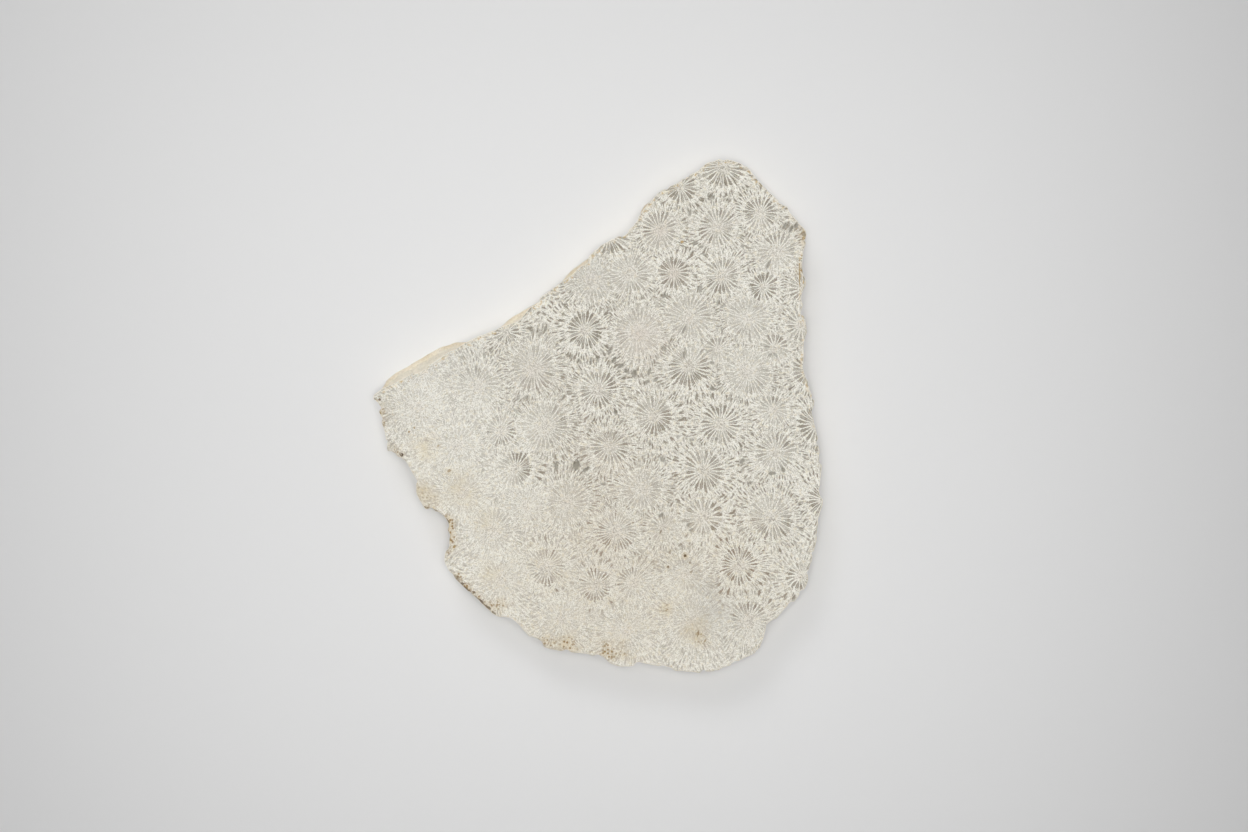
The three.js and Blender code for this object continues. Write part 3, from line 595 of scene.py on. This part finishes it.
def hollowed(points, inward, z):
    """How much further in the side is pushed by the crumbled hollows: to the far side of each ball."""
    pushed = np.zeros(len(points))
    for x, y, middle, radius, tall in SIDE_HOLLOWS:
        away = points + pushed[:, None] * inward - (x, y)
        upright = (z - middle) / tall
        deep = np.einsum("ij,ij->i", away, inward)
        room = radius ** 2 - (away ** 2).sum(1) + deep ** 2 - upright ** 2
        within = (away ** 2).sum(1) + upright ** 2 < radius ** 2
        pushed = pushed + np.where(within, np.sqrt(np.maximum(room, 0)) - deep, 0)
    return pushed


# ---- The slab's mesh ----


def rimmed_grid(ring):
    """A square grid, still empty inside, with the ring as its rim: from the peak at the start of row 0 down
    the first column to the left tip, and on round."""
    steps = len(ring) // 4
    closed = np.concatenate([ring, ring[:1]])
    top, left, lower, right = (closed[side * steps:(side + 1) * steps + 1] for side in range(4))
    grid = np.zeros((steps + 1, steps + 1, *ring.shape[1:]), ring.dtype)
    grid[:, 0], grid[-1], grid[:, -1], grid[0] = top, left, lower[::-1], right[::-1]
    return grid


def four_sided_patch(ring):
    """Grid inside a ring of points, counter-clockwise from the peak, that stretches like a soap film.

    Each inner point is the mean of its four neighbours. The sums of sines that solve this are the
    ring's pull on the points next to it, taken to waves, divided by each wave's stiffness
    (2 - 2 cos a) + (2 - 2 cos b), and taken back. Row i runs from the peak to the left tip, column j
    from the peak to the right corner.
    """
    grid = rimmed_grid(ring)
    steps = len(grid) - 1
    pull = grid[:-2, 1:-1] + grid[2:, 1:-1] + grid[1:-1, :-2] + grid[1:-1, 2:]
    angles = np.pi * np.arange(1, steps) / steps
    waves = np.sqrt(2 / steps) * np.sin(np.outer(angles, np.arange(1, steps)))
    stiffness = 2 - 2 * np.cos(angles)
    both = stiffness[:, None, None] + stiffness[None, :, None]
    swap = "ai,ijc,jb->abc"
    spread = np.einsum(swap, waves, pull, waves, optimize=True) / both
    grid[1:-1, 1:-1] = np.einsum(swap, waves, spread, waves, optimize=True)
    return grid


def smoothed_ring(ring, inward):
    """A ring a little way in from the edge without its notches: its waves round the slab, faded out by
    exp(-(wave / RING_WAVES)^2)."""
    waves = np.fft.rfft(ring[:, :2] + BAND_WIDTH * inward, axis=0)
    waves *= np.exp(-((np.arange(len(waves)) / RING_WAVES) ** 2))[:, None]
    smoothed = np.fft.irfft(waves, len(ring), axis=0)
    return np.column_stack([smoothed, ring[:, 2]])


def patch_numbers(ring_numbers, first_inner):
    """Vertex numbers of such a grid: its rim takes the ring's, and its inside counts on from first_inner."""
    numbers = rimmed_grid(ring_numbers)
    inner = numbers[1:-1, 1:-1]
    inner[:] = first_inner + np.arange(inner.size).reshape(inner.shape)
    return numbers


def grid_faces(numbers):
    """Four-sided faces of a grid of vertex numbers."""
    corners = (numbers[:-1, :-1], numbers[1:, :-1], numbers[1:, 1:], numbers[:-1, 1:])
    return np.stack(corners, axis=-1).reshape(-1, 4)


def wrapped(numbers):
    """A grid of vertex numbers, closed round by its own first column."""
    return np.column_stack([numbers, numbers[:, 0]])


def edge_rows():
    """Points of the broken side, row by row from the back face to the looked-at one, and how hollow
    each is."""
    shares = edge_shares()
    points, inward, _ = closed_curve(OUTLINE, shares)
    rows, depths = [], []
    for height in ROW_SHARES:
        leaning, back = set_back(shares, points, float(height))
        place = points + (leaning + back)[:, None] * inward
        push = hollowed(place, inward, height * THICKNESS)
        place = place + push[:, None] * inward
        rows.append(np.column_stack([place, np.full(len(place), height * THICKNESS)]))
        depths.append(back - back.min() + 2 * push)
    return np.array(rows), np.array(depths), inward


def slab_mesh():
    """The whole slab: side rows carried on over the edge as a band of the looked-at face, the grid inside
    that band, and the coarser back grid with its own band, joined to the side by five-sided faces."""
    side_rows, depths, inward = edge_rows()
    edge = side_rows[-1]
    band = edge + BAND_SHARES[:, None, None] * (smoothed_ring(edge, inward) - edge)
    rows = np.concatenate([side_rows, band])
    row_points = rows.size // 3
    count = rows.shape[1]
    numbers = np.arange(row_points).reshape(rows.shape[:2])
    strips = np.roll(grid_faces(wrapped(numbers))[:, ::-1], 1, axis=1)
    side_size = (len(side_rows) - 1) * count

    face_points = four_sided_patch(rows[-1])
    face_numbers = patch_numbers(numbers[-1], row_points)
    back_start = row_points + (FACE_STEPS - 1) ** 2

    coarse_inward = inward[::BACK_EVERY]
    first_ring = rows[0][::BACK_EVERY].copy()
    first_ring[:, :2] += BACK_INSET * coarse_inward
    last_ring = smoothed_ring(first_ring, coarse_inward)
    back_rows = first_ring + np.insert(BACK_SHARES, 0, 0.0)[:, None, None] * (last_ring - first_ring)
    back_points = four_sided_patch(back_rows[-1])
    band_numbers = back_start + np.arange(back_rows.size // 3).reshape(back_rows.shape[:2])
    back_numbers = patch_numbers(band_numbers[-1], back_start + back_rows.size // 3)
    fine = wrapped(numbers)[0][np.arange(0, count, BACK_EVERY)[:, None] + np.arange(BACK_EVERY + 1)]

    places = np.vstack([rows.reshape(-1, 3), face_points[1:-1, 1:-1].reshape(-1, 3),
                        back_rows.reshape(-1, 3), back_points[1:-1, 1:-1].reshape(-1, 3)])
    hollow = np.zeros(len(places))
    hollow[:depths.size] = depths.ravel()
    from_edge = np.zeros(len(places))
    from_edge[depths.size:row_points] = np.repeat(BAND_SHARES * BAND_WIDTH, count)
    from_edge[row_points:back_start] = BAND_WIDTH
    parts = SimpleNamespace(
        face=np.vstack([strips[side_size:], grid_faces(face_numbers)]),
        side=strips[:side_size],
        back=np.vstack([grid_faces(wrapped(band_numbers)), grid_faces(back_numbers)[:, ::-1]]),
        joining=np.column_stack([fine, np.roll(band_numbers[0], -1), band_numbers[0]])[:, ::-1],
    )
    return places, hollow, from_edge, parts, count


def fitted(places):
    """The places moved and drawn to the plain solid's box, and the move that was made."""
    low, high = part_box("coral_slice")
    low, high = np.array(low) / MM, np.array(high) / MM
    found_low, found_high = places.min(0), places.max(0)
    scale = (high - low) / (found_high - found_low)
    move = (low + high) / 2 - (found_low + found_high) / 2
    move[2] = low[2]
    centre = np.array([*(found_low + found_high)[:2] / 2, 0.0])
    return (places - centre) * scale + centre + move, move


EDGE_FADE = 0.8  # from the edge to where the relief is full
RIM_WIDTH = 1.6  # over which the cream rim fades
RIM_LEAST = 0.55  # of its colour in the lower half, and where it rises to its full
RIM_RISE = (-8.0, 8.0)
WEAR_SIZE, WEAR_DEPTH = 7.0, 0.05  # saw marks and wear over the sawn face
GRAIN_SIZE, GRAIN_DEPTH = 0.6, 0.06  # spongy stone between the stars


def relief(places, stars, gaps):
    """How deep the looked-at face lies below its sawn plane at each place."""
    near, far = two_nearest_stars(places, stars)
    marks = pattern(places[:, 0], places[:, 1], chosen(stars, near), chosen(stars, far), 0.0, PIT_SLOPE)
    gap = chosen(gaps, nearest_gap(places, gaps))
    inside, _ = gap_marks(places[:, 0], places[:, 1], gap, 0.0)
    flat = places * (1, 1, 0)
    wear = WEAR_DEPTH * lattice_noise(flat, WEAR_SIZE, 31)
    grain = GRAIN_DEPTH * (lattice_noise(flat, GRAIN_SIZE, 32) + 1 - marks.streaks)
    pits = np.maximum.reduce([PIT_DEPTH * marks.pits, PORE_DEPTH * marks.pores, inside * gap.depth])
    return wear + grain + pits


def store(mesh, name, domain, values):
    """Stores an array on the mesh: three columns as a vector, one as a number."""
    kind = "FLOAT_VECTOR" if values.ndim == 2 else "FLOAT"
    attribute = mesh.attributes.new(name, kind, domain)
    attribute.data.foreach_set("vector" if values.ndim == 2 else "value",
                               np.ascontiguousarray(values, np.float32).ravel())


def store_rows(mesh, name, table, rows):
    """Stores one row of a table for each face, three columns to a vector, filled up with zeros."""
    columns = [column[rows] for column in table.values()]
    columns += [np.zeros(len(rows))] * (-len(columns) % 3)
    for part, first in enumerate(range(0, len(columns), 3)):
        store(mesh, f"{name}_{part}", "FACE", np.column_stack(columns[first:first + 3]))


PATCH_STRENGTH, PATCH_LUMPS = (0.6, 1.4), 1.6  # how they vary, and in lumps of what size


def patch_tones(places):
    """How much tan, grey, rust, wear and pink the soft patches bring at each place, and a spare column."""
    tones = np.zeros((len(places), 6))
    strength = blend(*PATCH_STRENGTH, lattice_noise(places, PATCH_LUMPS, 51))
    for x, y, reach, *amounts in PATCHES:
        near = np.exp(-((np.hypot(places[:, 0] - x, places[:, 1] - y) / reach) ** 2))
        tones[:, :len(amounts)] += (near * strength)[:, None] * amounts
    return np.clip(tones, 0, 1)


# Where the bake map has each part: its lower left corner, and its size as a share of the map.
FACE_CORNER, FACE_SIZE = (0.005, 0.135), 0.86
BACK_CORNER, BACK_SIZE = (0.78, 0.006), (0.216, 0.27)
UPRIGHT_CORNER, UPRIGHT_LENGTH, UPRIGHT_STEP = (0.775, 0.285), 0.71, 0.072
LYING_CORNER, LYING_LENGTH = (0.005, 0.035), 0.74
STRIP_WIDTH = 0.064


def bake_map(mesh, places, parts, columns):
    """Lays the slab out flat for baking: the looked-at face large, the back small, and the side in four
    strips, three upright ones next to the face and the last one lying below it."""
    low, high = places.min(0), places.max(0)
    flat = (places[:, :2] - low[:2]) / (high[1] - low[1])
    rows, quarter = len(ROW_SHARES) - 1, columns // 4
    left = np.tile(np.arange(columns), rows)[:, None]
    row = np.repeat(np.arange(rows), columns)[:, None]
    strip = left // quarter
    share = (left + (0, 1, 1, 0) - strip * quarter) / quarter
    height = STRIP_WIDTH * ROW_SHARES[row + (0, 0, 1, 1)]
    upright = np.stack([UPRIGHT_STEP * strip + height, UPRIGHT_LENGTH * share], axis=-1) + UPRIGHT_CORNER
    lying = np.stack([LYING_LENGTH * share, height], axis=-1) + LYING_CORNER
    side = np.where(strip[:, :, None] == 3, lying, upright)
    corners = [flat[parts.face.ravel()] * FACE_SIZE + FACE_CORNER, side.reshape(-1, 2)]
    corners += [flat[part.ravel()] * BACK_SIZE + BACK_CORNER for part in (parts.back, parts.joining)]
    layer = mesh.uv_layers.new(name="OFBake")
    layer.uv.foreach_set("vector", np.vstack(corners).astype(np.float32).ravel())


SAWN, BROKEN = 0, 1  # the mesh's two materials


def placed(name, data, place=(0, 0, 0)):
    """A new object in the scene at a place."""
    thing = bpy.data.objects.new(name, data)
    thing.location = place
    bpy.context.collection.objects.link(thing)
    return thing


def make_slab():
    """The finished slab as one object at the origin, with what its materials read stored on its mesh."""
    places, hollow, from_edge, parts, columns = slab_mesh()
    places, shift = fitted(places)
    stars, gaps = star_table(shift), gap_table(shift)
    on_face = from_edge > 0
    fade = smooth(0.0, EDGE_FADE, from_edge[on_face])
    places[on_face, 2] -= relief(places[on_face], stars, gaps) * fade

    mesh = bpy.data.meshes.new("sawn_coral_slab")
    faces = [face for part in vars(parts).values() for face in part.tolist()]
    mesh.from_pydata((places * MM).tolist(), [], faces)
    bake_map(mesh, places, parts, columns)

    middles = np.vstack([places[part].mean(axis=1) for part in vars(parts).values()])
    near, far = two_nearest_stars(middles, stars)
    store_rows(mesh, "near_star", stars, near)
    store_rows(mesh, "far_star", stars, far)
    store_rows(mesh, "gap", gaps, nearest_gap(middles, gaps))
    tones = patch_tones(places)
    rim = held(1.0 - from_edge / RIM_WIDTH) * on_face * blend(RIM_LEAST, 1.0, smooth(*RIM_RISE, places[:, 1]))
    for name, values in (("tones", tones[:, :3]), ("wear", tones[:, 3:]), ("hollow", hollow), ("rim", rim)):
        store(mesh, name, "POINT", values)

    slots = np.full(len(faces), SAWN, np.int32)
    slots[len(parts.face):len(parts.face) + len(parts.side)] = BROKEN
    mesh.materials.append(sawn_stone())
    mesh.materials.append(broken_stone())
    mesh.polygons.foreach_set("material_index", slots)
    mesh.shade_smooth()
    mesh.validate()
    return placed("sawn_coral_slab", mesh)


# ---- Materials ----

PALE_WALL = (0.91, 0.894, 0.825)
GREY_STONE = (0.5, 0.458, 0.375)
COOL_STONE = (0.57, 0.575, 0.56)
PINK_STONE = (0.72, 0.64, 0.56)
CREAM_RIM = (0.88, 0.8, 0.64)
# Cream of the broken side: its own colour with painted light added, near to white so that its steep faces
# look lit.
CREAM_STONE_AND_PAINTED_LIGHT = (0.99, 0.92, 0.77)
PIT_GREY = (0.294, 0.263, 0.206)
PIT_BROWN = (0.335, 0.262, 0.19)
OCHRE = (0.57, 0.42, 0.2)
DARK_GAP = (0.292, 0.276, 0.232)
TAN = (0.7, 0.6, 0.385)
RUST = (0.33, 0.222, 0.1)
BROWN = (0.1, 0.062, 0.033)
SPECULAR = 0.25


def new_material(name):
    """A material with one shader, whose plain values sit on its own sockets."""
    material = bpy.data.materials.new(name)
    material.use_nodes = True
    tree = material.node_tree
    shader = tree.nodes["Principled BSDF"]
    shader.inputs["Specular IOR Level"].default_value = SPECULAR
    return material, tree, shader


def split(vector):
    """The three parts of a vector, as wires."""
    return add_node("SeparateXYZ", {0: vector})


def joined(*parts):
    """A vector of three values, as one wire."""
    return add_node("CombineXYZ", dict(enumerate(parts)))[0]


def object_places(tree):
    """The vector of the object's own coordinates, in millimetres."""
    inside = add_node("TexCoord", {}, tree)[3]
    return add_node("VectorMath", {0: inside, "Scale": 1 / MM}, operation="SCALE")[0]


def stored_vector(tree, name):
    """The three parts of a vector stored on the mesh, as wires."""
    return split(add_node("Attribute", {}, tree, attribute_name=name)[1])


def stored_number(tree, name):
    """A number stored on the mesh, as a wire."""
    return add_node("Attribute", {}, tree, attribute_name=name)[2]


def stored_row(tree, name, fields):
    """The row of a table that is stored for the face, as named wires."""
    wires = [wire for part in range(3) for wire in stored_vector(tree, f"{name}_{part}")]
    return SimpleNamespace(**dict(zip(fields, wires)))


NOISE_GAIN, NOISE_LOSS = 2.4, 0.7  # spread the noise node's usual values to fill 0 to 1


def noise(vector, cell, detail=2.0):
    """Blender's noise with lumps about cell across, from 0 to 1."""
    value, _ = add_node("TexNoise", {"Vector": vector, "Scale": 1 / cell, "Detail": detail})
    return held(value * NOISE_GAIN - NOISE_LOSS)


def cells(vector, cell):
    """Distance from the middle of rounded cells about cell across."""
    return add_node("TexVoronoi", {"Vector": vector, "Scale": 1 / cell})[0]


def mixed(first, second, share):
    """Two colours mixed by a share, which the node keeps between 0 and 1. A colour is three numbers or a
    wire."""
    first, second = (colour if isinstance(colour, Wire) else (*colour, 1.0) for colour in (first, second))
    return add_node("Mix", {0: share, 6: first, 7: second}, data_type="RGBA")[2]


def coated(colour, *coats):
    """A colour with others mixed over it one after another, each by its own share."""
    for other, share in coats:
        colour = mixed(colour, other, share)
    return colour


def finish(shader, colour, roughness, height, strength, distance):
    """Feeds a shader its colour, its roughness, and fine relief from a height, distance in millimetres."""
    normal = add_node("Bump", {"Height": height, "Strength": strength, "Distance": distance * MM})[0]
    for name, value in (("Base Color", colour), ("Roughness", roughness), ("Normal", normal)):
        connect(value, shader.inputs[name], value.tree)


# Sizes of the lumps and specks that colour the sawn stone.
BROAD, CLOUD, COARSE, GRAIN, SPECKS = 9.0, 2.2, 0.6, 0.17, 0.62
FRAY, FRAY_SIZE = 0.7, 0.3  # how ragged its pits and gaps are, and in lumps of what size

# Its lightness between the two stone colours: where it starts, and how much each thing adds or takes.
LIGHT = SimpleNamespace(start=0.65, broad=0.18, cloud=0.12, coarse=0.2, grain=1.8, streaks=0.4, septa=0.42,
                        fibres=0.75, worn=0.14, grey=0.2, paler=0.07, greyer=0.08)

# Where the face is a little greyer, in an oval, and where it gets a little paler towards the right.
GREYER_MIDDLE, GREYER_REACH = (2.0, -22.0), (14.0, 28.0)
PALER_RISE = (20.0, 29.0)


def sawn_stone():
    """The sawn faces: pale walls and grey pits of the stars in granular cream stone, with stains."""
    material, tree, shader = new_material("sawn_coral_stone")
    vector = object_places(tree)
    x, y, _ = split(vector)
    ragged = FRAY * (noise(vector, FRAY_SIZE, 1.0) - 0.5)
    near = stored_row(tree, "near_star", STAR_FIELDS)
    far = stored_row(tree, "far_star", STAR_FIELDS)
    marks = pattern(x, y, near, far, ragged, PIT_SOFTNESS)
    gap = stored_row(tree, "gap", GAP_FIELDS)
    gap_inside, gap_halo = gap_marks(x, y, gap, ragged)
    tan, grey, rust = stored_vector(tree, "tones")
    worn, pink, _ = stored_vector(tree, "wear")
    rim = stored_number(tree, "rim")
    contrast = 1.0 - 0.75 * worn

    broad = noise(vector, BROAD)
    cloud = noise(vector, CLOUD)
    coarse = noise(vector, COARSE)
    grain = noise(vector, GRAIN, 1.0)
    specks = smooth(0.44, 0.32, cells(vector, SPECKS))
    across = (x - GREYER_MIDDLE[0]) / GREYER_REACH[0]
    along = (y - GREYER_MIDDLE[1]) / GREYER_REACH[1]
    greyer = smooth(1.3, 0.2, across * across + along * along)

    # Wear takes contrast from what is drawn along the tubes' walls, and the stars' hubs have half of it.
    drawn = (LIGHT.streaks * (marks.streaks - 0.5) + LIGHT.septa * marks.septa) * contrast
    drawn = drawn + (LIGHT.fibres - 0.4 * worn) * (marks.fibres - 0.5)
    light = LIGHT.start + LIGHT.worn * worn - LIGHT.grey * grey + drawn * (1.0 - 0.5 * marks.hub)
    light = light + LIGHT.broad * (broad - 0.5) + LIGHT.cloud * (cloud - 0.5) + LIGHT.coarse * (coarse - 0.5)
    light = light + (LIGHT.grain - 0.1 * worn) * (grain - 0.5)
    light = light + LIGHT.paler * smooth(*PALER_RISE, x) - LIGHT.greyer * greyer

    # Pits and pores are broken up by the grain, and a pit is paler inside its darker line.
    broken = 0.35 + 0.7 * grain + 0.45 * (1.0 - marks.fibres)
    dark = most(marks.pits * (0.3 + broken) * (1.0 - 0.42 * marks.fills),
                marks.pores * 0.9 * broken * contrast)
    dark = held(most(dark, marks.hub * smooth(0.45, 0.15, grain) * 0.3))
    brown = 4.0 * tan + 1.5 * pink + 0.3 * smooth(0.5, 0.8, cloud)

    colour = coated(
        mixed(GREY_STONE, PALE_WALL, light),
        (COOL_STONE, grey * (0.4 + 0.8 * cloud)),
        (TAN, tan * (0.3 + 0.7 * cloud) + 0.3 * smooth(0.6, 0.9, coarse)),
        (PINK_STONE, (pink + 0.25 * marks.hub) * (0.3 + 0.7 * grain)),
        (mixed(PIT_GREY, PIT_BROWN, brown), dark),
        (CREAM_RIM, smooth(0.9 - 0.6 * cloud, 1.1, rim)),
        (OCHRE, 1.6 * rim * smooth(0.5, 0.85, coarse) - 0.5),
        (OCHRE, rust * (0.15 + 0.5 * cloud)),
        (RUST, 3.0 * rust * specks * (0.3 + 0.7 * cloud)),
        (OCHRE, gap.rust * gap_inside + 0.35 * gap_halo * gap.halo),
        (mixed(DARK_GAP, BROWN, 2.0 * gap.rust), gap_inside * gap.depth * (0.8 + 0.5 * grain)),
    )
    height = 0.7 * grain + 0.5 * marks.fibres - 1.2 * marks.pits - 0.8 * marks.pores * contrast
    finish(shader, colour, 0.76 + 0.1 * dark + 0.12 * coarse, height, 0.5, 0.15)
    return material


def broken_stone():
    """The broken side: cream stone, brightened near to white partly as painted light, with the fine lines of
    the tubes' walls and brown in its hollows.
    """
    material, tree, shader = new_material("broken_coral_stone")
    vector = object_places(tree)
    x, y, z = split(vector)
    _, grey, rust = stored_vector(tree, "tones")
    hollow = stored_number(tree, "hollow")

    cloud = noise(vector, 3.5)
    grain = noise(vector, 0.45, 3.0)
    lines = smooth(0.35, 0.8, noise(joined(x, y, SIDE_RIB_RUN * z), 0.42))
    depth = smooth(1.5, 3.2, hollow + 0.5 * cloud)

    colour = coated(
        # Painted light: the side's cream is pushed near to white so that its steep faces look as bright as a
        # lit side.
        mixed(TAN, CREAM_STONE_AND_PAINTED_LIGHT, 0.94 + 0.3 * cloud + 0.35 * (grain - 0.3)),
        (PIT_GREY, lines * (0.02 + 0.2 * grain) + 0.2 * grey),
        (OCHRE, smooth(1.3, 0.4, z) * (0.05 + 0.45 * cloud)),
        (RUST, rust * (0.4 + 0.6 * cloud) + 0.25 * depth * cloud),
        (BROWN, depth * 0.6 + 0.6 * rust * depth),
    )
    finish(shader, colour, 0.84 + 0.14 * grain, grain - 0.5 * lines, 0.7, 0.2)
    return material


# ---- The studio ----

FRAME_WIDTH = 249.6  # width of view at the sawn face, in millimetres
LENS, SENSOR = 120.0, 36.0
VIEW_MIDDLE = (5.2, 0.0)

# Lights: name, place and width in metres, power, and the spread of the beam in degrees.
LIGHTS = [
    ("overhead_light", (0.0, 0.0, 0.5), 0.3, 0.176, 34),
    ("upper_left_light", (-0.22, 0.6, 0.6), 0.35, 1.7, 180),
]
WORLD_STRENGTH = 0.24
FLOOR_HALF, FLOOR_GREY, FLOOR_ROUGHNESS = 1.5, 0.76, 0.9  # half its width is in metres


def make_camera():
    """A camera straight above the slab, upright with its peak towards the top of the picture."""
    data = bpy.data.cameras.new("camera")
    data.lens = LENS
    data.sensor_width = SENSOR
    place = np.array([*VIEW_MIDDLE, THICKNESS + FRAME_WIDTH * LENS / SENSOR]) * MM
    bpy.context.scene.camera = placed("camera", data, place)


def make_floor():
    """A wide pale floor at the height the slab lies on."""
    mesh = bpy.data.meshes.new("floor")
    corners = [(x * FLOOR_HALF, y * FLOOR_HALF, 0) for x, y in ((-1, -1), (1, -1), (1, 1), (-1, 1))]
    mesh.from_pydata(corners, [], [(0, 1, 2, 3)])
    material, _, shader = new_material("pale_floor")
    shader.inputs["Base Color"].default_value = (FLOOR_GREY, FLOOR_GREY, FLOOR_GREY, 1.0)
    shader.inputs["Roughness"].default_value = FLOOR_ROUGHNESS
    mesh.materials.append(material)
    placed("floor", mesh)


def make_light(name, place, width, power, spread):
    """A square soft light at a place, turned to the slab's middle."""
    data = bpy.data.lights.new(name, "AREA")
    data.size = width
    data.energy = power
    data.spread = np.radians(spread)
    light = placed(name, data, place)
    x, y, z = np.zeros(3) - place
    light.rotation_euler = (np.arctan2(np.hypot(x, y), -z), 0.0, np.arctan2(y, x) - np.pi / 2)
    light.visible_camera = False


def make_world():
    """An even pale world, shown without a film curve."""
    world = bpy.data.worlds.new("studio")
    world.use_nodes = True
    background = world.node_tree.nodes["Background"]
    background.inputs["Color"].default_value = (1.0, 1.0, 1.0, 1.0)
    background.inputs["Strength"].default_value = WORLD_STRENGTH
    bpy.context.scene.world = world
    bpy.context.scene.view_settings.view_transform = "Standard"


slab = make_slab()
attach(slab, "root")
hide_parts("coral_slice")
make_camera()
make_floor()
for light in LIGHTS:
    make_light(*light)
make_world()
